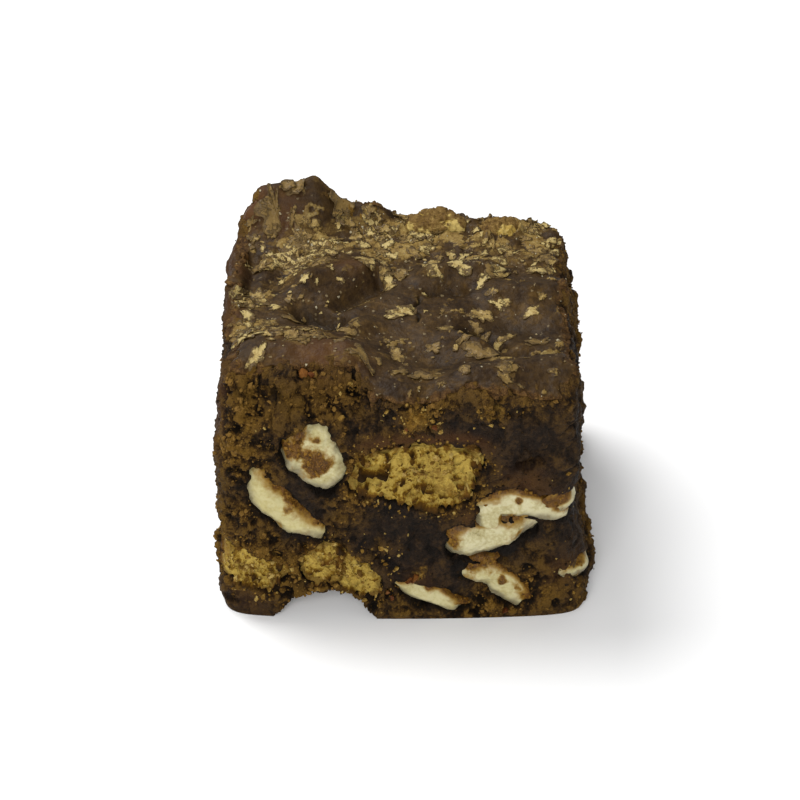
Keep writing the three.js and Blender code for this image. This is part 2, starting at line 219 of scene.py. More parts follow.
def frontHalf(x, z):
    # Swollen at the base, and crumbled back at the upper left
    swell = 1.5 * bell(z / 9) * (1 - (x / 31) ** 2)
    across = rise(x, -31, -27.5) - rise(x, -7, -3.5)
    return slab["depth"] / 2 + swell - 6.6 * across * rise(z, 35, 47)


def backHalf(x, z):
    return slab["depth"] / 2 + 1.3 * bell((x + 18) / 9) * rise(z, 34, 48) + 0.8 * bell(z / 10)


def push(points, share, side):
    # The slab's coarse relief: three noises as a shift of each point, fading out above the flat base
    relief = slab["crustRelief"] * (1 - side) + slab["crumbRelief"] * side
    rough = share * relief * rise(points[..., 2] / slab["height"], 0, slab["flatBase"])
    shift = np.stack([lumpNoise(points, slab["lumpSize"], seed) for seed in (11, 23, 37)], -1)
    return points + np.asarray(rough)[..., None] * shift


def slabPoint(across, along, up, share):
    # From -1 to 1 across and along and 0 to 1 up: a rounded square, stretched to the slab's sides
    w, d = np.abs(across), np.abs(along)
    rim = np.maximum(w, d)
    outline = (w ** slab["corner"] + d ** slab["corner"]) ** (1 / slab["corner"])
    pull = rim / np.maximum(outline, 1e-9)
    a, b = across * pull, along * pull
    level = up * slab["height"]
    x = a * np.where(a < 0, leftHalf(level), rightHalf(level))
    y = b * np.where(b < 0, frontHalf(x, level), backHalf(x, level))
    z = up * (topHeight(x, y) - slab["rimDrop"] * rim ** 24)
    return push(np.stack([x, y, z], -1), share, rise(rim, 0.9, 1))


def facePoint(face, s, t):
    # The point of a cut face at s along it and t up it, rounded off towards its ends
    n = slab["corner"]
    if face in ("front", "back"):
        a = s / np.where(s < 0, leftHalf(t), rightHalf(t))
        b = np.clip(1 - np.abs(a) ** n, 0, 1) ** (1 / n)
        y = -b * frontHalf(s, t) if face == "front" else b * backHalf(s, t)
        return np.stack([s, y, t], -1)
    b = s / np.where(s < 0, frontHalf(0 * s, t), backHalf(0 * s, t))
    a = np.clip(1 - np.abs(b) ** n, 0, 1) ** (1 / n)
    return np.stack([-a * leftHalf(t) if face == "left" else a * rightHalf(t), s, t], -1)


def inward(face):
    ways = {"front": (0, 1, 0), "back": (0, -1, 0), "left": (1, 0, 0), "right": (-1, 0, 0)}
    return np.array(ways[face], float)


def arcPoint(arc, angle, size, turn):
    # A bent oval: cos and sin of the angle, squared off, along the curve (1-t)^2 p0 + 2t(1-t) p1 + t^2 p2
    (p0, p1, p2), half = np.array(arc[0], float), arc[1]

    def curveAt(t):
        return (1 - t) ** 2 * p0 + 2 * t * (1 - t) * p1 + t**2 * p2

    c, s = np.cos(angle), np.sin(angle)
    oval = (np.abs(c) ** 2.6 + np.abs(s) ** 2.6) ** (-1 / 2.6)
    radius = size * oval * (1 + 0.09 * np.sin(3 * angle + turn) + 0.05 * np.sin(5 * angle + 2 * turn))
    t = np.clip((1 + c * radius) / 2, 0, 1)[..., None]
    length = np.linalg.norm(np.diff(curveAt(np.linspace(0, 1, 65)[:, None]), axis=0), axis=1).sum()
    past = ((1 + c * radius) / 2 - t[..., 0]) * length  # beyond the curve's ends
    middle = curveAt(t)
    way = 2 * (1 - t) * (p1 - p0) + 2 * t * (p2 - p1)
    way = way / np.linalg.norm(way, axis=-1, keepdims=True)
    out = half * s * radius
    x = middle[..., 0] + way[..., 0] * past - way[..., 1] * out
    y = middle[..., 1] + way[..., 1] * past + way[..., 0] * out
    return x, y


def fadingSide(arc, angle):
    # 1 at the upper right of an outline, where the crumb lies over it, and 0 at its lower left: from how far
    # each point is from the one across the curve
    s, t = arcPoint(arc, angle, 1.0, arc[0][0][0])
    across = np.roll(np.arange(len(angle))[::-1], 1)
    return np.clip(0.5 + 0.4 * (t - t[across] + 0.5 * (s - s[across])) / arc[1], 0, 1)


def distanceToOutline(s, t, arc, turn):
    # Distance of each point to the arc's outline, negative inside, and how far the crumb lies over it there
    angle = np.linspace(0, 2 * np.pi, 72, endpoint=False)
    x, y = arcPoint(arc, angle, 1.0, turn)
    nearest = np.full(np.shape(s), 1e9)
    fading = np.zeros(np.shape(s))
    inside = np.zeros(np.shape(s), bool)
    for x0, y0, x1, y1, fade in zip(x, y, np.roll(x, -1), np.roll(y, -1), fadingSide(arc, angle)):
        dx, dy = x1 - x0, y1 - y0
        k = np.clip(((s - x0) * dx + (t - y0) * dy) / (dx * dx + dy * dy), 0, 1)
        apart = np.hypot(s - x0 - k * dx, t - y0 - k * dy)
        fading = np.where(apart < nearest, fade, fading)
        nearest = np.minimum(nearest, apart)
        inside ^= ((y0 > t) != (y1 > t)) & (s < dx * (t - y0) / (dy if dy else 1e-9) + x0)
    return np.where(inside, -nearest, nearest), fading


# Meshes

def gridQuads(rows, cols, closed):
    # Corner numbers of the quads of a grid of points; closed joins its last column to its first
    r = np.arange(rows - 1)[:, None]
    c = np.arange(cols if closed else cols - 1)[None, :]
    d = (c + 1) % cols
    return np.stack([r * cols + c, r * cols + d, (r + 1) * cols + d, (r + 1) * cols + c], -1).reshape(-1, 4)


def normalsOf(grid, closed):
    # Cross product of the differences along a grid's columns and rows
    across = np.roll(grid, -1, 1) - np.roll(grid, 1, 1) if closed else np.gradient(grid, axis=1)
    normal = np.cross(across, np.gradient(grid, axis=0))
    return normal / np.maximum(np.linalg.norm(normal, axis=-1, keepdims=True), 1e-9)


def makePiece(name, points, faces, nodes, material, values=None, smooth=True):
    # A mesh from arrays: points in millimetres, faces as arrays of corner numbers, values kept on the points
    mesh = bpy.data.meshes.new(name)
    points = np.asarray(points, float).reshape(-1, 3)
    faces = [np.asarray(f) for f in faces]
    corners = np.concatenate([f.ravel() for f in faces]).astype(np.int32)
    sizes = np.concatenate([np.full(len(f), f.shape[1]) for f in faces])
    mesh.vertices.add(len(points))
    mesh.vertices.foreach_set("co", (points * mm).ravel())
    mesh.loops.add(len(corners))
    mesh.loops.foreach_set("vertex_index", corners)
    mesh.polygons.add(len(sizes))
    mesh.polygons.foreach_set("loop_start", np.concatenate([[0], np.cumsum(sizes)[:-1]]).astype(np.int32))
    mesh.polygons.foreach_set("use_smooth", np.full(len(sizes), smooth))
    for key, data in (values or {}).items():
        kept = mesh.attributes.new(key, "FLOAT", "POINT")
        kept.data.foreach_set("value", np.asarray(data, np.float32).ravel())
    mesh.update(calc_edges=True)
    mesh.validate()
    mesh.materials.append(material)
    piece = bpy.data.objects.new(name, mesh)
    bpy.context.scene.collection.objects.link(piece)
    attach(piece, "root")
    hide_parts(*nodes)
    print(f"{name}: {int((sizes - 2).sum())} triangles")


# Shader nodes

def addNode(tree, kind, settings=None, inputs=None):
    made = tree.nodes.new(kind)
    for key, value in (settings or {}).items():
        setattr(made, key, value)
    for key, value in (inputs or {}).items():
        if isinstance(value, bpy.types.NodeSocket):
            tree.links.new(value, made.inputs[key])
        else:
            made.inputs[key].default_value = value
    return made


def sum2(tree, operation, a, b):
    return addNode(tree, "ShaderNodeMath", {"operation": operation}, {0: a, 1: b}).outputs[0]


def plus(tree, a, b):
    return sum2(tree, "ADD", a, b)


def minus(tree, a, b):
    return sum2(tree, "SUBTRACT", a, b)


def times(tree, a, b):
    return sum2(tree, "MULTIPLY", a, b)


def most(tree, a, b):
    return sum2(tree, "MAXIMUM", a, b)


def mixColours(tree, factor, a, b):
    return addNode(tree, "ShaderNodeMix", {"data_type": "RGBA"}, {0: factor, 6: a, 7: b}).outputs[2]


def stretch(tree, value, low, high, outLow=0.0, outHigh=1.0):
    # A smooth step from low to high, carried to the range outLow to outHigh
    made = addNode(tree, "ShaderNodeMapRange", {"interpolation_type": "SMOOTHSTEP"},
                   {"Value": value, "From Min": low, "From Max": high, "To Min": outLow, "To Max": outHigh})
    return made.outputs[0]


def noiseNode(tree, vector, perMetre, detail=3.0, roughness=0.55, distortion=0.0):
    # perMetre is how many lumps fit into a metre, the unit of an object's own coordinates
    made = addNode(tree, "ShaderNodeTexNoise", None,
                   {"Vector": vector, "Scale": perMetre, "Detail": detail, "Roughness": roughness,
                    "Distortion": distortion})
    return made.outputs["Fac"]


def colour(red, green, blue):
    # Screen values from 0 to 255 as the linear colour that a shader takes
    def linear(v):
        v = v / 255
        return v / 12.92 if v <= 0.04045 else ((v + 0.055) / 1.055) ** 2.4
    return (linear(red), linear(green), linear(blue), 1.0)


def startGroup(name, inputs, outputs):
    tree = bpy.data.node_groups.new(name, "ShaderNodeTree")
    kinds = {"value": "NodeSocketFloat", "colour": "NodeSocketColor", "vector": "NodeSocketVector"}
    for label, (kind, default) in inputs.items():
        socket = tree.interface.new_socket(label, in_out="INPUT", socket_type=kinds[kind])
        if default is not None:
            socket.default_value = default
    for label, kind in outputs.items():
        tree.interface.new_socket(label, in_out="OUTPUT", socket_type=kinds[kind])
    return tree, tree.nodes.new("NodeGroupInput").outputs, tree.nodes.new("NodeGroupOutput").inputs


def makeGrainGroup():
    # Fine relief of crumbs: cells of two sizes over noise, as a height, and dust from the same noise
    tree, given, wanted = startGroup(
        "fineGrain",
        {"Vector": ("vector", None), "Grain": ("value", 0.5), "Softness": ("value", 0.3)},
        {"Height": "value", "Dust": "value"})
    perMetre = sum2(tree, "DIVIDE", 1000.0, given["Grain"])
    coarse = addNode(tree, "ShaderNodeTexVoronoi", {"feature": "SMOOTH_F1"},
                     {"Vector": given["Vector"], "Scale": perMetre, "Smoothness": given["Softness"]})
    fine = addNode(tree, "ShaderNodeTexVoronoi", None,
                   {"Vector": given["Vector"], "Scale": times(tree, perMetre, 2.3)})
    speck = noiseNode(tree, given["Vector"], times(tree, perMetre, 1.4), 4.0, 0.65)
    height = times(tree, minus(tree, 1.0, coarse.outputs["Distance"]), 0.5)
    height = plus(tree, height, times(tree, minus(tree, 1.0, fine.outputs["Distance"]), 0.22))
    tree.links.new(plus(tree, height, times(tree, speck, 0.45)), wanted["Height"])
    tree.links.new(stretch(tree, speck, 0.38, 0.66), wanted["Dust"])
    return tree


def makeMottleGroup():
    # Three shades of one stuff in soft patches with speckled edges, as a colour
    tree, given, wanted = startGroup(
        "mottle",
        {"Vector": ("vector", None), "Patch": ("value", 4.0), "Dark": ("colour", None),
         "Mid": ("colour", None), "Light": ("colour", None), "Balance": ("value", 0.5)},
        {"Color": "colour"})
    perMetre = sum2(tree, "DIVIDE", 1000.0, given["Patch"])
    wide = noiseNode(tree, given["Vector"], perMetre, 5.0, 0.62, 0.4)
    small = noiseNode(tree, given["Vector"], times(tree, perMetre, 5.3), 4.0, 0.6)
    field = plus(tree, times(tree, wide, 0.55), times(tree, small, 0.45))
    field = plus(tree, field, minus(tree, given["Balance"], 0.5))
    tone = mixColours(tree, stretch(tree, field, 0.38, 0.52), given["Dark"], given["Mid"])
    tone = mixColours(tree, stretch(tree, field, 0.51, 0.63), tone, given["Light"])
    tree.links.new(tone, wanted["Color"])
    return tree


def makeFleckGroup():
    # Small scattered spots: the cells of a Voronoi pattern whose random value is high, as round masks
    tree, given, wanted = startGroup(
        "flecks",
        {"Vector": ("vector", None), "Size": ("value", 0.6), "Share": ("value", 0.2)},
        {"Mask": "value"})
    vector = given["Vector"]
    bend = addNode(tree, "ShaderNodeTexNoise", None, {"Vector": vector, "Scale": 2600.0, "Detail": 2.0})
    shift = addNode(tree, "ShaderNodeVectorMath", {"operation": "SCALE"},
                    {0: bend.outputs["Color"], "Scale": 0.5 * mm})
    place = addNode(tree, "ShaderNodeVectorMath", {"operation": "ADD"}, {0: vector, 1: shift.outputs[0]})
    cells = addNode(tree, "ShaderNodeTexVoronoi", None,
                    {"Vector": place.outputs[0], "Scale": sum2(tree, "DIVIDE", 1000.0, given["Size"])})
    chosen = addNode(tree, "ShaderNodeSeparateColor", None, {0: cells.outputs["Color"]}).outputs[0]
    chosen = sum2(tree, "LESS_THAN", chosen, given["Share"])
    spot = stretch(tree, cells.outputs["Distance"], 0.28, 0.46, 1.0, 0.0)
    tree.links.new(times(tree, chosen, spot), wanted["Mask"])
    return tree


print("materials")
grainGroup, mottleGroup, fleckGroup = makeGrainGroup(), makeMottleGroup(), makeFleckGroup()


def startMaterial(name):
    made = bpy.data.materials.new(name)
    made.use_nodes = True
    return made, made.node_tree, made.node_tree.nodes.new("ShaderNodeTexCoord").outputs["Object"]


def placeGroup(tree, group, inputs):
    return addNode(tree, "ShaderNodeGroup", {"node_tree": group}, inputs).outputs


def readValue(tree, name):
    return addNode(tree, "ShaderNodeAttribute", {"attribute_name": name}).outputs["Fac"]


def unrest(tree, vector, perMetre, roughness, amount, detail=4.0):
    # Noise around zero, which frays the edges of masks
    return times(tree, minus(tree, noiseNode(tree, vector, perMetre, detail, roughness), 0.5), amount)


def shadesOf(tree, vector, tones, patch, balance=0.5):
    dark, mid, light = (colour(*c) for c in tones)
    given = {"Vector": vector, "Patch": patch, "Dark": dark, "Mid": mid, "Light": light, "Balance": balance}
    return placeGroup(tree, mottleGroup, given)["Color"]


def tint(tree, share, base, tone):
    return mixColours(tree, share, base, colour(*tone))


def flecksOf(tree, vector, size, share):
    return placeGroup(tree, fleckGroup, {"Vector": vector, "Size": size, "Share": share})["Mask"]


def finishMaterial(made, vector, base, look, dull=None, dusty=1.0, dullest=1.0, raised=None):
    # The base colour, and from the fine grain the bump and the roughness, which grows with dullness and dust
    tree, shader = made.node_tree, made.node_tree.nodes["Principled BSDF"]
    tree.links.new(base, shader.inputs["Base Color"])
    given = {"Vector": vector, "Grain": look["grain"], "Softness": look["softness"]}
    grain = placeGroup(tree, grainGroup, given)
    low, high = look["roughness"]
    if low == high:
        shader.inputs["Roughness"].default_value = low
    else:
        worn = grain["Dust"] if dull is None else plus(tree, dull, times(tree, grain["Dust"], dusty))
        tree.links.new(stretch(tree, worn, 0.0, dullest, low, high), shader.inputs["Roughness"])
    shader.inputs["Specular IOR Level"].default_value = look["specular"]
    height = grain["Height"] if raised is None else plus(tree, grain["Height"], raised)
    bump = addNode(tree, "ShaderNodeBump", None, {"Height": height, "Distance": look["bump"] * mm})
    tree.links.new(bump.outputs[0], shader.inputs["Normal"])
    return made


crumbLook = {
    "moist": [(15, 10, 6), (29, 20, 12), (48, 34, 18)], "moistPatch": 3.4,
    "dry": [(22, 13, 2), (55, 36, 8), (97, 71, 25)], "dryPatch": 1.6,
    "gold": [(84, 58, 16), (120, 88, 30), (146, 116, 54)], "goldPatch": 1.0,
    # pit is the colour of painted shade in the crumb's hollows, pores, pockets, creases and clefts
    "baked": (64, 38, 15), "pit": (9, 5, 2),
    "grain": 0.4, "softness": 0.3, "bump": 0.36, "roughness": (0.6, 0.9), "specular": 0.1,
}


def makeCrumbMaterial():
    made, tree, vector = startMaterial("brownieCrumb")
    look, dry = crumbLook, readValue(tree, "dry")
    # raised crumb takes the lighter shades and low crumb the darker: painted light and shade
    balance = stretch(tree, readValue(tree, "lift"), 0.15, 0.85, 0.36, 0.62)
    base = mixColours(tree, dry, shadesOf(tree, vector, look["moist"], look["moistPatch"], balance),
                      shadesOf(tree, vector, look["dry"], look["dryPatch"], balance))
    base = tint(tree, times(tree, readValue(tree, "baked"), 0.7), base, look["baked"])
    patch = plus(tree, readValue(tree, "gold"), unrest(tree, vector, 1500.0, 0.65, 1.2))
    golden = most(tree, times(tree, flecksOf(tree, vector, 0.55, 0.15), readValue(tree, "dust")),
                  stretch(tree, patch, 0.25, 0.75, 0.0, 0.75))
    base = mixColours(tree, golden, base, shadesOf(tree, vector, look["gold"], look["goldPatch"]))
    # painted shade: the crumb darkened in its hollows, pores, pockets, creases and clefts
    base = tint(tree, times(tree, readValue(tree, "pit"), 0.8), base, look["pit"])
    return finishMaterial(made, vector, base, look, dry, dusty=0.4, dullest=1.2)


crustLook = {
    "smooth": [(36, 23, 8), (54, 38, 16), (74, 54, 23)],
    "skin": [(60, 42, 17), (90, 69, 33), (118, 97, 50)],
    "scab": [(92, 70, 32), (122, 99, 52), (146, 126, 76)],
    "crumbs": [(40, 25, 9), (73, 50, 23), (105, 79, 40)],
    # pit is the colour of painted shade in the crust's hollows, its crack and its shaded slope
    "lip": (91, 55, 24), "glint": (122, 107, 78), "pit": (16, 11, 6),
    "grain": 0.6, "softness": 0.5, "bump": 0.14, "roughness": (0.5, 0.8), "specular": 0.12,
}


def makeCrustMaterial():
    made, tree, vector = startMaterial("brownieCrust")
    look, edge = crustLook, readValue(tree, "edge")
    frayed = unrest(tree, vector, 1500.0, 0.7, 0.3)
    skin = stretch(tree, plus(tree, readValue(tree, "skin"), frayed), 0.2, 0.36)
    scab = stretch(tree, plus(tree, readValue(tree, "scab"), frayed), 0.33, 0.45)
    base = shadesOf(tree, vector, look["smooth"], 6.0)
    base = tint(tree, times(tree, readValue(tree, "lip"), 0.7), base, look["lip"])
    base = mixColours(tree, times(tree, skin, 0.7), base, shadesOf(tree, vector, look["skin"], 1.6))
    base = mixColours(tree, scab, base, shadesOf(tree, vector, look["scab"], 1.2))
    base = tint(tree, times(tree, flecksOf(tree, vector, 0.6, 0.05), 0.6), base, look["glint"])
    base = mixColours(tree, edge, base, shadesOf(tree, vector, look["crumbs"], 1.1))
    # painted shade in the crust's hollows, its crack and on the shaded slope of the raised corner
    base = tint(tree, times(tree, readValue(tree, "pit"), 0.75), base, look["pit"])
    return finishMaterial(made, vector, base, look, most(tree, skin, edge), dusty=0.4, dullest=1.2)


biscuitLook = {
    "tones": [(78, 52, 10), (120, 92, 27), (160, 136, 64)], "patch": 1.3,
    # pit is the colour of painted shade in holes and between the grains
    "rind": (71, 44, 15), "toasted": (92, 60, 18), "pit": (24, 14, 2),
    "grain": 0.45, "softness": 0.25, "bump": 0.07, "roughness": (0.7, 0.9), "specular": 0.1,
}


def makeBiscuitMaterial():
    made, tree, vector = startMaterial("biscuitCrumb")
    look = biscuitLook
    # raised crumbs take the lighter shades and low ones the darker: painted light and shade
    balance = stretch(tree, readValue(tree, "lift"), 0.1, 0.9, 0.34, 0.66)
    base = shadesOf(tree, vector, look["tones"], look["patch"], balance)
    toasted = stretch(tree, noiseNode(tree, vector, 260.0, 4.0, 0.65), 0.5, 0.64, 0.0, 0.6)
    base = tint(tree, toasted, base, look["toasted"])
    base = tint(tree, times(tree, readValue(tree, "rind"), 0.9), base, look["rind"])
    # painted shade in holes and between the grains
    base = tint(tree, times(tree, readValue(tree, "pit"), 0.9), base, look["pit"])
    return finishMaterial(made, vector, base, look)


lumpLook = {
    # pit is the colour of painted shade in hollows
    "tones": [(116, 88, 28), (148, 122, 56), (168, 146, 84)], "pit": (40, 26, 8),
    "cover": [(66, 45, 16), (100, 76, 34), (130, 106, 58)],
    "grain": 0.6, "softness": 0.4, "bump": 0.08, "roughness": (0.75, 0.75), "specular": 0.15,
}


def makeLumpMaterial():
    # Biscuit that looks out of the crust: pale where it is bare, tan where the crust covers it
    made, tree, vector = startMaterial("biscuitInCrust")
    look = lumpLook
    # raised parts take the lighter shades and low ones the darker: painted light and shade
    balance = stretch(tree, readValue(tree, "lift"), 0.1, 0.9, 0.4, 0.62)
    base = shadesOf(tree, vector, look["tones"], 3.0, balance)
    ragged = unrest(tree, vector, 1100.0, 0.7, 0.6)
    cover = stretch(tree, plus(tree, readValue(tree, "cover"), ragged), -0.1, 0.04)
    base = mixColours(tree, cover, base, shadesOf(tree, vector, look["cover"], 1.4))
    # painted shade in hollows
    base = tint(tree, times(tree, readValue(tree, "pit"), 0.8), base, look["pit"])
    return finishMaterial(made, vector, base, look, raised=cover)


whiteLook = {
    "tones": [(124, 112, 70), (160, 151, 110), (178, 171, 136)], "patch": 3.2,
    # grey is the colour of the lower edge, partly its thin translucent rim and partly painted shade under the
    # bulge
    "yellow": (166, 154, 96), "amber": (124, 94, 32), "grey": (98, 90, 70),
    "crumbs": [(48, 29, 4), (84, 54, 12), (112, 79, 22)],
    "grain": 1.3, "softness": 0.8, "bump": 0.05, "roughness": (0.3, 0.6), "specular": 0.18,
    "glow": 0.1, "glowReach": 0.8,  # how much light passes under the surface, and how far
}


def makeWhiteMaterial():
    # Cream that turns amber by the crumb on its upper side and by its stains, and grey at its lower edge
    # the grey at the lower edge is partly the thin translucent rim and partly painted shade
    made, tree, vector = startMaterial("whiteChocolate")
    look = whiteLook
    base = shadesOf(tree, vector, look["tones"], look["patch"], 0.57)
    base = tint(tree, readValue(tree, "warmth"), base, look["yellow"])
    fine = unrest(tree, vector, 900.0, 0.65, 1.0)
    worn = plus(tree, unrest(tree, vector, 300.0, 0.5, 1.1, 3.0), times(tree, fine, 0.7))
    # the greyed lower edge: partly thin translucent rim, partly painted shade under the bulge
    lower = plus(tree, readValue(tree, "low"), times(tree, worn, 0.9))
    base = tint(tree, stretch(tree, lower, 0.15, 1.0, 0.0, 0.85), base, look["grey"])
    reach = plus(tree, readValue(tree, "rim"), worn)
    smear = plus(tree, readValue(tree, "smear"), times(tree, fine, 0.9))
    halo = most(tree, stretch(tree, reach, 0.1, 0.7), stretch(tree, smear, 0.15, 0.6))
    base = tint(tree, halo, base, look["amber"])
    stain = most(tree, stretch(tree, reach, 0.55, 0.95), stretch(tree, smear, 0.45, 0.75))
    base = mixColours(tree, stain, base, shadesOf(tree, vector, look["crumbs"], 1.2))
    finishMaterial(made, vector, base, look, stain, dullest=1.6, raised=stain)
    shader = tree.nodes["Principled BSDF"]
    shader.inputs["Subsurface Weight"].default_value = look["glow"]
    shader.inputs["Subsurface Radius"].default_value = (1.0, 0.85, 0.6)
    shader.inputs["Subsurface Scale"].default_value = look["glowReach"] * mm
    return made


def makeScrapMaterial(name, look):
    # Loose scraps: their own tone, from the value kept on their points, moves each between three shades
    made, tree, vector = startMaterial(name)
    balance = stretch(tree, readValue(tree, "tone"), 0.0, 1.0, 0.32, 0.7)
    base = shadesOf(tree, vector, look["tones"], 0.9, balance)
    return finishMaterial(made, vector, base, {**scrapLook, **look})


flakeLook = {
    "tones": [(104, 82, 40), (136, 113, 62), (164, 145, 92)],
    "edge": [(66, 49, 23), (84, 65, 32), (100, 80, 42)],
    "grain": 0.5, "softness": 0.4, "bump": 0.08, "roughness": (0.45, 0.85), "specular": 0.25,
}


def makeFlakeMaterial():
    # Pale skin, lacy towards the rim, where the crust's own colour shows through it
    made, tree, vector = startMaterial("flakes")
    tone = stretch(tree, readValue(tree, "tone"), 0.0, 1.0, 0.34, 0.66)
    lace = minus(tree, noiseNode(tree, vector, 900.0, 5.0, 0.7), times(tree, readValue(tree, "share"), 0.26))
    skin = stretch(tree, lace, 0.27, 0.32)
    base = mixColours(tree, skin, shadesOf(tree, vector, flakeLook["edge"], 2.0),
                      shadesOf(tree, vector, flakeLook["tones"], 1.1, tone))
    return finishMaterial(made, vector, base, flakeLook, raised=times(tree, skin, 2.0))


crumbMaterial, crustMaterial = makeCrumbMaterial(), makeCrustMaterial()
biscuitMaterial, lumpMaterial = makeBiscuitMaterial(), makeLumpMaterial()
whiteMaterial = makeWhiteMaterial()

# The crumb: one surface carried round the slab's outline, turned in under the crust and closed flat
crumb = {
    "front": 246, "side": 108, "back": 98,  # points along each face
    "rows": 158, "shelfRows": 9,
    "capLevel": 0.985,  # where the sides end and the shelf under the crust starts
    "shelfInset": 0.87, "shelfDrop": 0.75,  # how far in and how far down the shelf goes
    "capFloor": 36.5,  # the level of the flat lid
    "clumps": (3.3, 1.35), "crumbs": (1.35, 0.8),  # size, height
    "grains": (0.75, 0.3),
    "shift": 0.25,  # sideways unevenness
    "poreSize": 2.6, "poreDepth": 1.5,
    "pocketDepth": 2.2, "moat": 0.5,
    "overWhite": 0.8,  # how far it lies over the upper right of a white lump
    "fadeIn": 1.4,  # the level at which the relief is full
    "mealy": 0.42,  # how rough and light it is where no place below says otherwise
    # the smooth baked band over the middle biscuit: half its length, distance from the biscuit, width
    "band": (13, 1.3, 1.1),
    # places of the front, each with x, z, radius, strength: drier and lighter
    "dryPlaces": [(-25, 35, 7, 0.3), (-27, 22, 5, 0.3), (-16, 42, 10, -0.12), (2.5, 39.5, 4.5, 0.6),
                  (14.5, 41, 4, 0.5), (22, 42, 5, 0.3), (-9, 21, 4, 0.35), (-22, 9, 7, 0.3),
                  (16, 29, 4, 0.25), (14, 3, 6, 0.35), (-4, 13, 3, 0.3)],
    "moistPlaces": [(18, 34, 9, 0.8), (-1, 17, 9, 0.65), (9, 36, 6, 0.4), (26, 14, 6, 0.45),
                    (-17, 17, 5, 0.3), (10, 11, 6, 0.4), (-12, 33, 4, 0.2), (-23, 3, 4, 0.3)],
    "goldPlaces": [(2.7, 39.6, 2.6, 0.9), (14.8, 40.6, 3.0, 0.6), (-23.5, 37.5, 3.5, 0.45),
                   (-9, 44.5, 2.5, 0.5), (-16.5, 35.5, 1.6, 0.8), (-27, 30, 3, 0.35), (5, 21, 2.4, 0.4),
                   (-5, 16, 2, 0.4), (-8, 9.5, 2.5, 0.5), (-20, 10.5, 3, 0.5), (21, 22, 2, 0.5),
                   (3.5, 8.5, 2.5, 0.5), (23, 43, 3, 0.4)],
    # reddish
    "bakedPlaces": [(-25, 4, 4, 0.35), (20, 27, 3.5, 0.7), (24, 22.5, 2.5, 0.7), (3, 7, 2.5, 0.6),
                    (27, 9, 3, 0.6), (-14, 18, 2, 0.4), (11, 20, 1.6, 0.6), (-12, 44.5, 4, 0.4)],
    # painted shade in clefts
    "paintedShadePlaces": [(-25, 41.8, 1.0, 0.8), (-22.8, 41.9, 1.2, 1.0), (-20.3, 41.7, 1.1, 0.9),
                   (-17.6, 41.2, 1.0, 0.8), (-16.5, 7.2, 1.6, 0.8), (11.0, 12.8, 1.3, 0.8),
                   (13.4, 12.0, 1.3, 0.9), (-14, 42, 1.6, 0.5), (-21, 41.5, 2.0, 0.5), (-24, 33, 1.0, 0.4),
                   (20.5, 30.8, 2.0, 0.6), (-8, 39, 1.5, 0.4)],
    # where lumps have broken away
    "brokenPlaces": [(-26, 42, 4, 0.7), (-19, 43, 4, 1.0), (-12, 43, 5, 1.1), (-6, 42, 4, 1.0),
                     (3, 38.5, 4, 0.7), (14.5, 41, 4, 0.5), (20, 30.5, 4, 0.5), (-12, 4, 9, 0.5),
                     (12, 12, 4, 0.4)],
}


def onFront(points, places):
    # A bell round each place of the front, added up
    total = 0
    for x, z, radius, strength in places:
        total = total + strength * bell(np.hypot(points[..., 0] - x, points[..., 2] - z) / radius)
    return total * rise(-points[..., 1], 18, 24)


def pieceDistance(points):
    # Distance to the nearest outline of biscuit and of white chocolate, in the faces they come to
    toBiscuit = np.full(points.shape[:-1], 99.0)
    toWhite = toBiscuit.copy()
    astray = np.sin(np.pi * np.clip(points[..., 1] / slab["depth"] + 0.5, 0, 1)) ** 2
    for spec in biscuits.values():
        x, z = points[..., 0] - spec["stray"][0] * astray, points[..., 2] - spec["stray"][1] * astray
        arc = spec["arc"]
        # looked for near the front and the back, and all along the left side
        for side, turn in ((-1, 0), (1, 1)):
            near = (side * points[..., 1] > 20) | ((points[..., 0] < -25) & (side * points[..., 1] >= 0))
            d, _ = distanceToOutline(x[near], z[near], arc, arc[0][0][0] + turn)
            toBiscuit[near] = np.minimum(toBiscuit[near], d)
    for name, (face, _, arcs) in whiteLumps.items():
        axis, side = {"front": (1, -1), "back": (1, 1), "left": (0, -1), "right": (0, 1)}[face]
        near = side * points[..., axis] > 22
        for arc in arcs:
            d, fading = distanceToOutline(points[near][:, 1 - axis], points[near][:, 2], arc, arc[0][0][0])
            toWhite[near] = np.minimum(toWhite[near], d + crumb["overWhite"] * fading * lumpFade.get(name, 1))
    return toBiscuit, toWhite


def carve(points):
    # Points inside a hollow move in to its far wall, which is a little uneven
    for centre, radii in hollows:
        uneven = 1 + 0.1 * noise(points, 2.2, 71) + 0.06 * noise(points, 0.9, 72)
        e = (points - np.array(centre)) / (np.array(radii) * uneven[..., None])
        inside = (e**2).sum(-1) < 1
        wall = centre[1] + radii[1] * uneven * np.sqrt(np.clip(1 - e[..., 0] ** 2 - e[..., 2] ** 2, 0, 1))
        points[..., 1] = np.where(inside, np.maximum(points[..., 1], wall), points[..., 1])
    return points


def crumbRelief(grid, dry, broken, seed):
    # Clumps, crumbs and grains that stand out, and pores that go in; drier crumb is rougher
    height = 0
    for n, key in enumerate(("clumps", "crumbs")):
        size, lift = crumb[key]
        height = height + lift * (crumble(grid, size, seed + 40 * n) - 0.5)
    size, lift = crumb["grains"]
    height = height + lift * (grains(grid, size, seed + 5) - 0.5)
    pores = rise(fractal(grid, crumb["poreSize"], seed + 9), 0.22, 0.5)
    # the creases between the clumps, which the colours darken as painted shade
    crease = 1 - rise(crumble(grid, crumb["crumbs"][0], seed + 40), 0.12, 0.42)
    return (height - crumb["poreDepth"] * pores) * (0.34 + 0.66 * dry) * (1 + 0.9 * broken), crease


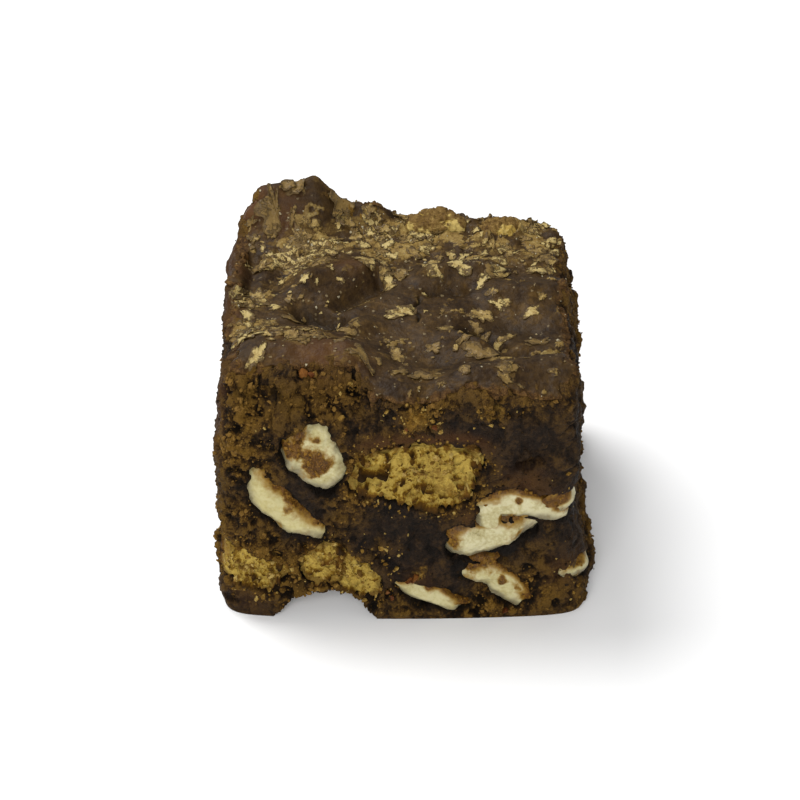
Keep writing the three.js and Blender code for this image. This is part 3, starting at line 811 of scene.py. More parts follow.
def crumbStates(grid, level, toBiscuit):
    # How broken, dry, baked and golden the crumb is
    broken = np.clip(onFront(grid, crumb["brokenPlaces"]), 0, 1.2)
    # dry in patches, under the crust and round the biscuit
    dry = crumb["mealy"] + 0.5 * noise(grid, 8, 51) + 0.5 * fractal(grid, 3.5, 52)
    dry = dry + onFront(grid, crumb["dryPlaces"]) - onFront(grid, crumb["moistPlaces"])
    dry = dry + 0.12 * rise(level, 39, 43.5) + 0.25 * (1 - rise(toBiscuit, 0.3, 2.5))
    # baked over the middle biscuit, along the left edge and in places
    halfLength, off, width = crumb["band"]
    middle = biscuits["biscuit_middle"]["arc"][0][1]
    above = rise(level - middle[1], 2.0, 6.0) * (grid[..., 1] < -20)
    band = above * (np.abs(grid[..., 0] - middle[0]) < halfLength) * bell((toBiscuit - off) / width)
    leftEdge = rise(-grid[..., 0], 26.5, 28.5) * rise(level, 24, 38) * rise(grid[..., 1], -26, -22)
    leftEdge = leftEdge * rise(fractal(grid, 7, 54), -0.3, 0.3)
    baked = np.clip(np.maximum(band, leftEdge) + onFront(grid, crumb["bakedPlaces"]), 0, 1)
    gold = np.clip(onFront(grid, crumb["goldPlaces"]) * (0.8 + 0.9 * fractal(grid, 1.6, 53)), 0, 1)
    return broken, np.clip(dry, 0, 1) * (1 - 0.7 * baked), baked, gold


def makeCrumb():
    nFront, nSide, nBack, rows = crumb["front"], crumb["side"], crumb["back"], crumb["rows"]
    # round the unit square, against the clock from the front left corner
    f, s, b = (np.linspace(-1, 1, n, endpoint=False) for n in (nFront, nSide, nBack))
    across = np.concatenate([f, np.ones(nSide), -b, -np.ones(nSide)])
    along = np.concatenate([-np.ones(nFront), s, np.ones(nBack), -s])
    shelf = np.linspace(0, 1, crumb["shelfRows"])
    up = np.concatenate([np.linspace(0, crumb["capLevel"], rows), np.ones(len(shelf))])[:, None]
    inset = np.concatenate([np.ones(rows), 0.99 + (crumb["shelfInset"] - 0.99) * shelf])[:, None]
    onShelf = (np.arange(len(up)) >= rows)[:, None]
    grid = slabPoint(across * inset, along * inset, up + 0 * across, 1.0)
    grid[..., 2] -= crumb["shelfDrop"] * onShelf
    level = grid[..., 2].copy()
    toBiscuit, toWhite = pieceDistance(grid)
    nearest = np.minimum(toBiscuit, toWhite)
    broken, dry, baked, gold = crumbStates(grid, level, toBiscuit)
    normal = normalsOf(grid, True)
    # the relief, with a moat round the white lumps and a pocket where a piece lies
    height, crease = crumbRelief(grid, dry, broken, 61)
    height = height * (1 - 0.4 * baked) + 0.5 * baked - crumb["moat"] * bell((toWhite - 0.3) / 0.7)
    ragged = 0.6 * noise(grid, 2.0, 95) + 0.35 * noise(grid, 0.9, 96)
    pocket = 1 - rise(np.minimum(toBiscuit, toWhite - 0.5 + 0.5 * noise(grid, 2.8, 97)) + ragged, -0.35, 0.1)
    height = height * (1 - pocket) - crumb["pocketDepth"] * pocket
    fade = rise(level, 0.0, crumb["fadeIn"])
    shift = crumb["shift"] * noiseVector(grid, 1.0, 98) * ((1 - pocket) * fade)[..., None]
    grid = carve(grid + normal * (height * fade)[..., None] + shift)
    grid[0, :, 2] = 0
    grid[..., 2] = np.maximum(grid[..., 2], 0)
    # values for the colours
    # the relief's height, which the colours turn into lighter raised crumb and darker low crumb: painted
    # light and shade
    lift = np.clip(0.5 + height / 1.5, 0, 1)
    # pit: painted shade in hollows and pores, in the pockets round the pieces, in creases and clefts
    pit = rise(-height, 0.35, 1.4) + 0.4 * pocket + 0.35 * broken * rise(-height, -0.3, 0.5)
    cleftShade = onFront(grid, crumb["paintedShadePlaces"]) * rise(fractal(grid, 1.8, 99), -0.3, 0.25)
    pit = np.clip(pit + 0.55 * crease * (0.4 + 0.6 * dry) + cleftShade, 0, 1)
    dust = np.clip(1 - rise(toBiscuit, 0.2, 4.5) + 0.4 * dry, 0, 1)
    # closed by a flat lid under the crust and a flat base
    lid = grid[-1:] * [0.985, 0.985, 0] + [0, 0, crumb["capFloor"]]
    points = np.concatenate([grid, lid])
    columns, last = across.size, len(grid)
    faces = [gridQuads(last + 1, columns, True), np.arange(columns)[::-1][None, :],
             np.arange(last * columns, (last + 1) * columns)[None, :]]
    values = {"dry": dry, "lift": lift, "pit": pit, "dust": dust, "baked": baked, "gold": gold}
    values = {key: np.concatenate([data, data[-1:]]) for key, data in values.items()}
    makePiece("crumb", points, faces, ["brownie"], crumbMaterial, values)
    return grid[:rows], normal[:rows], dry[:rows], nearest[:rows], toBiscuit[:rows]


print("crumb")
crumbGrid, crumbNormal, crumbDry, crumbNearest, crumbToBiscuit = makeCrumb()

# The crust: the top as a grid, its ragged rim turned down and in, closed flat inside the crumb
crust = {
    "cells": 290, "rimRows": 4,
    "rimDrop": 1.1, "floor": 37.5,  # how far the rim is carried down, and the level of its closed end
    "ragged": 1.5,  # how far the rim is bitten into
    # the lacy layers of skin: height, and the levels of noise between which their edge rises
    "skinLift": 0.12, "skinLevels": (0.24, 0.3), "scabLift": 0.26, "scabLevels": (0.36, 0.42),
    "edgeBand": (0.955, 0.985),  # how far out the crust breaks up into crumbs
    # places of the top, each with x, y, radius, strength
    # painted shade on the front slope of the raised back left corner
    "paintedShadePlaces": [(-20, 26, 7.5, 0.32)],
    "flakyPlaces": [(-16, 17, 10, 0.85), (0, 20, 10, 0.95), (18, 20, 11, 0.9), (-26, 0, 4, 0.8),
                    (-24, -10, 5, 0.8), (-14, -16, 5, 0.5), (-1, 10, 4, 0.6), (18, -20, 4, 0.5),
                    (14, 12, 7, 0.55), (24, -4, 4, 0.35), (11, -4, 3, 0.4), (-18, 10, 6, 0.6),
                    (25, -14, 4, 0.4), (3, -22, 6, 0.35)],
    "barePlaces": [(-22, 25, 5, 1.0), (-12, 26, 5, 0.6), (-9, 7, 4.5, 0.9), (3, 2, 6, 0.7),
                   (-16, -10, 4, 0.6), (20, -8, 5, 0.7), (20, -21, 4, 0.6), (2, -14, 7, 0.7),
                   (-27, 8, 3, 0.8), (22, 3, 4, 0.6), (9, 7, 3, 0.6)],
    # reddish, baked ones
    "lipPlaces": [(-28.5, 8, 2.2, 1.0), (-28.5, 13, 2.2, 1.0), (-26, 25, 3.5, 0.9), (-20, 22.5, 3.5, 0.5),
                  (-9, 9, 3.0, 0.4), (-13, -20, 6, 0.5), (-29, -14, 3, 0.5), (-29, -5, 3, 0.6)],
    "crack": ((3.5, 2.5), (2.4, -7.5)), "crackDepth": 0.8,  # from, to
}


def onTop(x, y, places):
    # A bell round each place of the top, the strongest of them
    total = 0
    for px, py, radius, strength in places:
        total = np.maximum(total, strength * bell(np.hypot(x - px, y - py) / radius))
    return np.clip(total, 0, 1)


def crustRelief(grid, flaky, rim):
    x, y = grid[..., 0], grid[..., 1]
    # peeling skin: two layers of lacy patches, each a fractal noise cut off at a level
    skin = fractal(grid * [1, 1.25, 1], 4.2, 171, 5, 0.62) + 0.5 * flaky - 0.08
    scab = fractal(grid * [1, 1.3, 1], 3.2, 181, 5, 0.66) + 0.62 * flaky - 0.06
    height = crust["skinLift"] * rise(skin, *crust["skinLevels"])
    height = height + crust["scabLift"] * rise(scab, *crust["scabLevels"])
    height = height + (0.1 + 0.3 * flaky) * (crumble(grid, 2.6, 131) - 0.5)
    height = height + 0.2 * noise(grid, 1.8, 141) + 0.3 * noise(grid, 5, 142)
    height = height - 0.7 * rise(fractal(grid, 2.2, 144), 0.36, 0.6) * (0.15 + 0.85 * flaky)
    # a short crack
    (x0, y0), (x1, y1) = crust["crack"]
    bend = x0 + (x1 - x0) * (y - y0) / (y1 - y0) + 0.8 * noise(grid, 2.5, 147)
    crackLine = bell((x - bend) / 0.28) * rise(y, y1, y1 + 2) * (1 - rise(y, y0 - 2, y0))
    height = height - crust["crackDepth"] * crackLine
    # the rim crumbles
    rough = 0.03 * noise(grid, 1.5, 152) + 0.02 * noise(grid, 0.7, 153)
    edge = rise(rim + rough, *crust["edgeBand"])
    height = height + edge * (crumble(grid, 1.4, 151) - 0.65)
    return height, skin, scab, crackLine, edge


def crustRim(grid):
    # The outline of the grid, walked round once, then rings down from it and a last one inside the crumb
    n = crust["cells"]
    k = np.arange(n - 1)
    order = np.concatenate([k, k * n + n - 1, n * n - 1 - k, (n - 1 - k) * n])
    outline = grid.reshape(-1, 3)[order]
    outwards = outline * [1, 1, 0]
    outwards = outwards / np.linalg.norm(outwards, axis=1, keepdims=True)
    drop = crust["rimDrop"] + 0.3 * noise(outline, 1.7, 163)
    rings = []
    for share in np.arange(1, crust["rimRows"] + 1) / crust["rimRows"]:
        out = 0.45 * noise(outline + [0, 0, 3 * share], 0.8, 164) - 0.5 * share
        ring = outline + outwards * out[:, None]
        ring[:, 2] = outline[:, 2] - drop * share
        rings.append(ring)
    rings.append(rings[-1] * [0.9, 0.9, 0] + [0, 0, crust["floor"]])
    return order, rings


def makeCrust():
    n = crust["cells"]
    t = np.linspace(-1, 1, n)
    across, along = np.meshgrid(t, t)
    grid = slabPoint(across, along, np.ones_like(across), 1.0)
    x, y = grid[..., 0], grid[..., 1]
    rim = np.maximum(np.abs(across), np.abs(along))
    flaky = np.clip(onTop(x, y, crust["flakyPlaces"]) - onTop(x, y, crust["barePlaces"]), 0, 1)
    height, skin, scab, crackLine, edge = crustRelief(grid, flaky, rim)
    # bitten into at the rim, and welling up round the lumps that stand out of it
    bite = rise(noise(grid, 3.0, 161) + 0.8 * noise(grid, 1.1, 162), -0.3, 1.0)
    pullIn = crust["ragged"] * rise(rim, 0.9, 1.0) * bite / (slab["width"] / 2)
    grid = grid + normalsOf(grid, False) * height[..., None] - grid * [1, 1, 0] * pullIn[..., None]
    for centre, radii in topLumps.values():
        apart = np.hypot((x - centre[0]) / radii[0], (y - centre[1]) / radii[1]) + 0.3 * noise(grid, 2.0, 148)
        grid[..., 2] += bell((apart - 0.95) / 0.3) * (0.9 + 0.8 * noise(grid, 1.6, 149))
    # painted shade: darker in low relief, along the crack, where the top sinks below its level, and on the
    # shaded slope
    sunk = rise(slab["height"] - topHeight(x, y), 0.3, 3.0)
    pit = rise(-height, 0.25, 1.0) + crackLine + 0.75 * sunk + onTop(x, y, crust["paintedShadePlaces"])
    pit = np.clip(pit, 0, 1)
    order, rings = crustRim(grid)
    points = np.concatenate([grid.reshape(-1, 3)] + rings)
    m = len(order)
    starts = [order] + [n * n + k * m + np.arange(m) for k in range(len(rings))]
    faces = [gridQuads(n, n, False)]
    for upper, lower in zip(starts[:-1], starts[1:]):
        faces.append(np.stack([upper, lower, np.roll(lower, -1), np.roll(upper, -1)], -1))
    faces.append(starts[-1][::-1][None, :])
    under = len(points) - n * n
    lip = onTop(x, y, crust["lipPlaces"])
    values = {"skin": (skin, 0), "scab": (scab, 0), "pit": (pit, 0), "edge": (edge, 1), "lip": (lip, 0)}
    values = {key: np.concatenate([data.ravel(), np.full(under, end)]) for key, (data, end) in values.items()}
    makePiece("crust", points, faces, ["brownie"], crustMaterial, values)
    return grid, normalsOf(grid, False), flaky


print("crust")
crustGrid, crustNormal, crustFlaky = makeCrust()


# Baked-in pieces: rings of a bent oval, from the middle of one end along the sides to that of the other
cornerShare = 0.985  # how far towards the corners of a face they go
lowest = 0.3  # their lowest level


def bakedRows(face, arc, piece, scale, deep, stray, sideRows=None):
    # The outline reaches a little under the crumb, and the face sinks towards it. A piece that strays runs
    # through to the back; the others end at their depth, smaller
    angle = np.linspace(0, 2 * np.pi, int(piece["angles"] * scale), endpoint=False)
    phase = arc[0][0][0]
    rows, marks = [], []

    def addRow(size, share):
        # size is 1 at the outline that shows, and what is above 1 is added on all sides as a share of the
        # half width; share is 0 at the face and 1 at the far end
        astray = math.sin(math.pi * share) ** 2
        turn = phase + (share if stray else 0)
        s, t = arcPoint(arc, angle, np.full(angle.shape, max(min(size, 1.0), 1e-4)), turn)
        if size > 1:
            ds, dt = np.roll(s, -1) - np.roll(s, 1), np.roll(t, -1) - np.roll(t, 1)
            out = (size - 1) * arc[1] / np.maximum(np.hypot(ds, dt), 1e-6)
            if not stray:
                out = out * (0.7 + 0.3 * fadingSide(arc, angle))
            s, t = s + dt * out, t - ds * out
        if stray:
            s, t = s + stray[0] * astray, t + stray[1] * astray
        t = np.maximum(t, lowest)
        low, high = leftHalf(t), rightHalf(t)
        if face in ("left", "right"):
            low, high = frontHalf(0 * s, t), backHalf(0 * s, t)
        s = np.clip(s, -cornerShare * low, cornerShare * high)
        near = push(facePoint(face, s, t), slab["pieceShare"], 1)
        if stray:
            far = push(facePoint("back", s, t), slab["pieceShare"], 1)
        else:
            far = facePoint(face, s, t) + inward(face) * deep
        row = near * (1 - share) + far * share
        if share == 0.0 or (stray and share == 1.0):
            sink = piece["sunk"] + piece["rimSink"] * float(rise(size / reach, 0.7, 1.0))
            row = row + inward(face) * (sink if share == 0.0 else -sink)
        rows.append(row)
        marks.append((size, share))

    capRings, sideRings = int(piece["cap"] * scale), sideRows or piece["side"]
    reach = 1 + piece["grow"] / arc[1]
    sizes = reach * np.linspace(0, 1, capRings + 1) ** 0.9
    for size in sizes:
        addRow(size, 0.0)
    for share in np.linspace(0, 1, sideRings + 1)[1:-1]:
        addRow(reach if stray else math.sqrt(1 - 0.8 * float(rise(share, 0.4, 1.0))), float(share))
    endSizes = sizes[::-1] if stray else np.linspace(0.45, 0, 4)
    for size in endSizes:
        addRow(size, 1.0)
    return np.array(rows), np.array(marks)


biscuitPiece = {
    "angles": 244, "cap": 76, "side": 12,  # points round it, and rings of its ends and its side
    "grow": 0.7, "sunk": 0.15, "rimSink": 0.9,
    "clumps": (2.4, 1.6), "crumbs": (1.05, 1.05), "grains": (0.55, 0.5),  # size, height
    "pit": 1.5, "cleft": 1.4,
    "smallShare": 0.66,  # how many points the small ones have
    "sideBand": (0.93, 0.975),  # how far out a piece is bent into the left side
}


def makeBiscuit(name):
    spec, look = biscuits[name], biscuitPiece
    arc = spec["arc"]
    isMiddle = name == "biscuit_middle"
    scale = 1.0 if isMiddle else look["smallShare"]
    grid, marks = bakedRows("front", arc, look, scale, None, spec["stray"], spec.get("sideRows"))
    x, z = grid[..., 0], grid[..., 2]
    # kept inside the left side of the slab
    corner, y = slab["corner"], grid[..., 1]
    b = np.abs(y) / np.where(y < 0, frontHalf(x, z), backHalf(x, z))
    limit = leftHalf(z) * np.clip(1 - np.clip(b, 0, 0.999) ** corner, 0, 1) ** (1 / corner)
    onSide = rise(-x / leftHalf(z), *look["sideBand"])
    grid[..., 0] = x - onSide * (x + limit)
    size, share = marks[:, 0][:, None], marks[:, 1][:, None]
    onCap = ((share == 0) | (share == 1)) * 1.0
    normal = normalsOf(grid, True)
    clumpSize, lift = look["clumps"]
    height = lift * (crumble(grid, clumpSize, 171) - 0.6)
    # painted shade between the grains, for the colours
    gapShade = 0
    for n, key in enumerate(("crumbs", "grains")):
        grainSize, lift = look[key]
        balls = grains(grid, grainSize, 176 + 9 * n)
        height = height + lift * (balls - 0.55)
        gapShade = gapShade + 0.48 * (1 - rise(balls, 0.15, 0.65))
    # a cleft along the middle and scattered holes
    middleLine = arc[0][1][1] - 1.0 + 0.8 * noise(grid, 3.0, 181)
    cleft = bell((z - middleLine) / 0.5) * rise(noise(grid, 4.0, 182), -0.3, 0.1)
    cleft = look["cleft"] * cleft * isMiddle
    holes = rise(fractal(grid, 2.0, 184), 0.22, 0.45)
    rough = onCap * (1 - 0.85 * onSide) + (1 - onCap) * np.maximum(0.2, onSide)
    height = (height - look["pit"] * (holes + cleft)) * rough
    loosened = 0.2 * (onCap * (1 - onSide))[..., None] * noiseVector(grid, 0.8, 188)
    grid = grid + normal * height[..., None] + loosened
    grid[..., 0] = np.maximum(grid[..., 0], -limit - 0.4)
    grid[..., 2] = np.maximum(grid[..., 2], lowest)
    # the relief's height, which the colours turn into lighter raised crumbs and darker low ones: painted
    # light and shade
    lift = np.clip(0.62 + height / 1.6, 0, 1)
    # painted shade in holes and between the grains
    pit = np.clip(rise(-height, 0.5, 1.5) + gapShade, 0, 1)
    upper = rise(grid[..., 2] - arc[0][1][1], 1.0, 3.5) if isMiddle else 0.6
    rind = np.clip(rise(size + 0.12 * noise(grid, 2.0, 187), 0.82, 1.0) * (0.3 + 0.7 * upper), 0, 1)
    rind = rind + 0.5 * rise(arc[0][1][0] - x - 8 + noise(grid, 2.0, 189), 0.0, 3.0) * isMiddle * (1 - rind)
    addGridPiece(name, grid, [name], biscuitMaterial, {"pit": pit, "rind": rind, "lift": lift})
    return grid, normal, onCap * (size < 1) + 0 * x


def addGridPiece(name, grid, nodes, material, values):
    # Rows of rings, the first and last shrunk to a point each
    grid[0], grid[-1] = grid[0].mean(0), grid[-1].mean(0)
    rows, cols = grid.shape[:2]
    inner = gridQuads(rows - 2, cols, True) + 1
    points = np.concatenate([grid[:1, 0], grid[1:-1].reshape(-1, 3), grid[-1:, 0]])
    c = np.arange(cols)
    first = np.stack([np.zeros(cols, int), (c + 1) % cols + 1, c + 1], -1)
    lastRow = 1 + (rows - 3) * cols
    last = np.stack([np.full(cols, len(points) - 1), lastRow + c, lastRow + (c + 1) % cols], -1)
    values = {key: np.broadcast_to(data, (rows, cols)) for key, data in values.items()}
    values = {key: np.concatenate([v[:1, 0], v[1:-1].ravel(), v[-1:, 0]]) for key, v in values.items()}
    faces = outwardFaces(points, [inner, first, last])
    makePiece(name, points, faces, nodes, material, values)


def outwardFaces(points, faces):
    # All turned round if their signed volume, from the fan of triangles of each face, is below zero
    total = 0.0
    for f in faces:
        for k in range(1, f.shape[1] - 1):
            a, b, c = points[f[:, 0]], points[f[:, k]], points[f[:, k + 1]]
            total += np.einsum("ij,ij->", a, np.cross(b, c))
    return faces if total > 0 else [f[:, ::-1] for f in faces]


print("biscuits")
biscuitSurfaces = [makeBiscuit(name) for name in biscuits]

whitePiece = {
    "angles": 132, "cap": 44, "side": 8, "grow": 1.2, "sunk": 0.0, "rimSink": 0.0, "smallShare": 0.45,
    "bulge": 0.75, "sunkRim": 0.6,
    "coverDepth": 0.6,  # how deep it lies where the crumb comes over it
    "edgeDepth": 1.2, "wobble": 0.75,
    "stained": 0.15,  # more stain for those that have no places below
    # crumb that lies on the front ones: x, z, radius, strength
    "islands": {
        "white_lump_upper_left": [(-16.6, 35.2, 1.9, 1.1), (-14.2, 30.8, 1.7, 1.1), (-11.7, 30.2, 1.1, 1.0),
                                  (-18.0, 32.4, 1.1, 0.8), (-13.3, 34.9, 0.6, 0.7)],
        "white_lump_left": [(-17.9, 24.5, 1.5, 1.1), (-15.8, 23.0, 1.3, 1.1), (-18.5, 21.3, 0.7, 0.7)],
        "white_lump_right": [(17.9, 19.6, 0.8, 0.7), (19.3, 23.3, 0.6, 0.7), (12.4, 15.1, 0.6, 0.6),
                             (19.5, 16.5, 0.9, 0.7), (8.4, 15.4, 1.5, 1.0), (25.6, 22.4, 1.5, 1.0)],
        "white_lump_base_right": [(16.9, 7.4, 0.9, 1.0), (19.5, 6.0, 0.8, 0.9), (13.0, 10.4, 1.4, 0.7)],
        "white_lump_base_middle": [(5.5, 6.4, 1.4, 1.0), (8.8, 4.6, 1.0, 0.8)],
    },
    # how yellow
    "warmth": {"white_lump_upper_left": 0.25, "white_lump_left": 0.5, "white_lump_right": 0.0},
}


def makeWhiteLump(name):
    # It bulges out of the face, with a clear edge at the lower left and crumb over its upper right
    face, deep, arcs = whiteLumps[name]
    look = whitePiece
    for arc, suffix in zip(arcs, ("", "_lower", "_neck")):
        scale = look["smallShare"] if arc[1] < 2 else 1.0
        grid, marks = bakedRows(face, arc, look, scale, deep, None)
        size, share = marks[:, 0][:, None], marks[:, 1][:, None]
        angle = np.linspace(0, 2 * np.pi, grid.shape[1], endpoint=False)
        fading = fadingSide(arc, angle)[None, :] * lumpFade.get(name, 1)
        reach = 1 + look["grow"] / arc[1]
        onCap = (share == 0) * 1.0
        # a pillow: the root of 1 - size^2.2
        height = look["bulge"] * np.sqrt(np.clip(1 - size**2.2, 0, 1)) - look["sunkRim"]
        uneven = 0.6 * noise(grid, 3.0, 201) + 0.4 * fractal(grid, 1.6, 202)
        height = height + uneven * (1 - rise(size, 0.9, 1.2))
        # islands of crumb on it
        islands = look["islands"].get(name)
        s0, t0 = grid[..., 0 if face in ("front", "back") else 1], grid[..., 2]
        stain = 0.9 * fractal(grid, 2.2, 207) - 0.12 + look["stained"] * (islands is None)
        for px, pz, radius, strength in islands or []:
            stain = stain + strength * bell(np.hypot(s0 - px, t0 - pz) / radius) ** 0.7
        stain = np.clip(stain, 0, 1) * onCap
        height = height + rise(stain, 0.4, 0.8) * (0.1 + 0.6 * (crumble(grid, 1.1, 208) - 0.4))
        height = height - fading * look["coverDepth"] * rise(size, 0.6, 1.0)
        height = height - look["edgeDepth"] * rise(size, 1.0, reach)
        # its outline wanders within the face
        wobble = noiseVector(grid, 4.0, 204) + 0.55 * noiseVector(grid, 1.5, 205)
        wobble = look["wobble"] * (wobble + 0.25 * noiseVector(grid, 0.6, 206)) * (1 - np.abs(inward(face)))
        shift = wobble * np.minimum(size, 1)[..., None] ** 2 - inward(face) * height[..., None]
        grid = grid + onCap[..., None] * shift
        grid[..., 2] = np.maximum(grid[..., 2], lowest)
        rim = np.where(share > 0, 1.0, rise(size, 0.25, 0.95) * rise(fading, 0.2, 0.8)) + 0 * height
        # the greyed lower edge, partly thin translucent rim and partly painted shade under the bulge
        low = np.where(share > 0, 0.0, rise(size, 0.4, 1.05) * rise(1 - fading, 0.4, 1.0)) + 0 * height
        warmth = np.full(grid.shape[:2], look["warmth"].get(name, 0.3))
        addGridPiece(name + suffix, grid, [name], whiteMaterial,
                     {"rim": rim, "low": low, "smear": stain, "warmth": warmth})
        outwards = onCap * (1 - rise(size, 0.95, 1.05))
        clinging = 0.7 * rise(stain, 0.6, 0.9) + rise(size, 0.7, 1.0) * fading**3
        whiteSurfaces.append((grid, inward(face), outwards * clinging))


print("white lumps")
whiteSurfaces = []
for name in whiteLumps:
    makeWhiteLump(name)


def makeTopLump(name):
    # A ball stretched to three radii and roughened: rings of latitude from the bottom to the top
    (centre, radii), (rings, around) = topLumps[name], topLumpGrid
    lat = np.linspace(-np.pi / 2, np.pi / 2, rings)[:, None]
    lon = np.linspace(0, 2 * np.pi, around, endpoint=False)[None, :]
    ball = np.stack([np.cos(lat) * np.cos(lon), np.cos(lat) * np.sin(lon), np.sin(lat) + 0 * lon], -1)
    grid = ball * radii + centre
    height = 0.9 * fractal(grid, 4.0, 213) + 0.8 * (crumble(grid, 1.8, 211) - 0.6)
    height = height + 0.25 * (grains(grid, 0.7, 212) - 0.5)
    grid = grid + ball * height[..., None]
    # the relief's height, which the colours turn into lighter raised parts and darker low ones: painted light
    # and shade
    lift = np.clip(0.72 + height / 2.5, 0, 1)
    # painted shade in hollows, for the colours
    pit = rise(-height, 0.5, 1.2)
    cover = fractal(grid, 3.2, 215, 5, 0.65) + 0.3 * ball[..., 1] + 0.2
    addGridPiece(name, grid, [name], lumpMaterial, {"pit": pit, "cover": cover, "lift": lift})


for name in topLumps:
    makeTopLump(name)

# Loose scraps, joined into one mesh for each kind
random = np.random.default_rng(7)
grainDent, grainStretch = 0.42, (0.6, 1.3)


def randomTurns(count):
    # Rotation matrices from random unit quaternions
    q = random.normal(size=(count, 4))
    w, x, y, z = (q / np.linalg.norm(q, axis=1, keepdims=True)).T
    return np.stack([
        1 - 2 * (y * y + z * z), 2 * (x * y - z * w), 2 * (x * z + y * w),
        2 * (x * y + z * w), 1 - 2 * (x * x + z * z), 2 * (y * z - x * w),
        2 * (x * z - y * w), 2 * (y * z + x * w), 1 - 2 * (x * x + y * y)], -1).reshape(-1, 3, 3)


def grainShape():
    # The twenty-sided solid: three golden rectangles set crosswise
    g = (1 + 5**0.5) / 2
    points = [(-1, g, 0), (1, g, 0), (-1, -g, 0), (1, -g, 0), (0, -1, g), (0, 1, g), (0, -1, -g), (0, 1, -g),
              (g, 0, -1), (g, 0, 1), (-g, 0, -1), (-g, 0, 1)]
    faces = [(0, 11, 5), (0, 5, 1), (0, 1, 7), (0, 7, 10), (0, 10, 11), (1, 5, 9), (5, 11, 4), (11, 10, 2),
             (10, 7, 6), (7, 1, 8), (3, 9, 4), (3, 4, 2), (3, 2, 6), (3, 6, 8), (3, 8, 9), (4, 9, 5),
             (2, 4, 11), (6, 2, 10), (8, 6, 7), (9, 8, 1)]
    return np.array(points) / math.hypot(1, g), np.array(faces)


def addGrains(name, places, radii, tones, nodes, kind):
    # Copies of one grain, each dented, stretched, turned and moved
    points, faces = grainShape()
    count = len(places)
    dents = 1 + grainDent * random.uniform(-1, 1, (count, len(points), 1))
    stretchBy = random.uniform(*grainStretch, (count, 1, 3))
    local = points[None] * dents * stretchBy * radii[:, None, None]
    turned = np.einsum("nij,nkj->nki", randomTurns(count), local)
    allPoints = turned + places[:, None, :]
    allFaces = (faces[None] + np.arange(count)[:, None, None] * len(points)).reshape(-1, 3)
    tone = np.repeat(np.clip(tones + random.uniform(-0.2, 0.2, count), 0, 1), len(points))
    material = scrapMaterials[kind]
    makePiece(name, allPoints, [allFaces], nodes, material, {"tone": tone}, smooth=False)


def stepLength(grid, axis):
    return np.linalg.norm(np.gradient(grid, axis=axis), axis=-1)


def pick(weights, count):
    # Numbers of points, drawn by weight
    weights = np.clip(weights, 0, None).ravel()
    return random.choice(weights.size, count, p=weights / weights.sum())


loose = {
    "crumbs": 2600, "onBiscuits": 300, "nearBiscuits": 340, "specks": 260, "smallFlakes": 650,
    "onWhites": 3.6,  # for each square millimetre that they cling to
    # smallest, spread, and the power that makes most of them small
    "radii": {"crumbs": (0.12, 0.3, 3), "onBiscuits": (0.14, 0.4, 2), "nearBiscuits": (0.12, 0.42, 2.5),
              "onWhites": (0.1, 0.3, 2), "specks": (0.08, 0.25, 3), "smallFlakes": (0.35, 1.35, 2.2)},
    # in radii: how far out of the surface they stand, and how far off the floor they stay
    "out": {"crumbs": 0.15, "onBiscuits": 0.2, "onWhites": 0.2, "specks": 0.4},
    "offFloor": {"crumbs": 1.6, "onBiscuits": 1.5, "onWhites": 1.5},
    "unevenness": 0.08,  # of the crumbs' places
    # golden crumbs on the front: x, z, radius, strength
    "goldenPlaces": [(2.7, 39.2, 3.4, 1.0), (14.8, 40.3, 2.6, 0.8), (-1.6, 37.1, 0.6, 1.0),
                     (-9, 44, 3, 0.5), (-23, 36, 3, 0.25), (27, 22, 3, 0.4), (26, 7, 4, 0.3),
                     (-2, 13, 3, 0.4), (19, 21, 3, 0.3)],
    # caramel bits on the front: x, z, radius
    "caramel": [(-15.1, 44.6, 1.0), (-14.1, 44.3, 0.7), (-4.6, 44.8, 0.6), (2.5, 8.0, 0.8), (1.7, 7.4, 0.6),
                (-2.3, 4.4, 0.7), (-1.4, 3.9, 0.6), (17.5, 1.2, 0.7), (5.5, 38.2, 0.45), (1.2, 37.6, 0.4)],
}

# The fine look that the scraps share, and each kind's own
scrapLook = {"grain": 0.4, "softness": 0.4, "specular": 0.1}
scrapLooks = {
    "crumbScraps": {"tones": [(28, 18, 7), (64, 44, 14), (104, 77, 32)], "roughness": (0.7, 0.9),
                    "bump": 0.1},
    "goldScraps": {"tones": [(80, 56, 16), (118, 90, 36), (154, 132, 74)], "roughness": (0.6, 0.9),
                   "bump": 0.08},
    "caramelBits": {"tones": [(56, 27, 9), (82, 45, 17), (108, 68, 29)], "roughness": (0.45, 0.7),
                    "bump": 0.05, "grain": 0.5},
    "clingingCrumbs": {"tones": [(58, 36, 9), (88, 60, 18), (118, 86, 32)], "roughness": (0.7, 0.9),
                       "bump": 0.1},
    "specks": {"tones": [(97, 79, 50), (130, 115, 84), (162, 154, 130)], "roughness": (0.25, 0.6),
               "bump": 0.04},
}
scrapMaterials = {name: makeScrapMaterial(name, look) for name, look in scrapLooks.items()}
flakeMaterial = makeFlakeMaterial()


def drawRadii(kind, count):
    smallest, spread, power = loose["radii"][kind]
    return smallest + spread * random.uniform(0, 1, count) ** power


def settle(kind, grid, ways, chosen, radii):
    # The chosen points of a grid, moved along their ways by a share of each scrap's radius
    ways = np.broadcast_to(ways, grid.shape).reshape(-1, 3)
    return grid.reshape(-1, 3)[chosen] + ways[chosen] * (loose["out"][kind] * radii[:, None])


def offFloor(kind, spots, radii):
    spots[:, 2] = np.maximum(spots[:, 2], radii * loose["offFloor"][kind])
    return spots


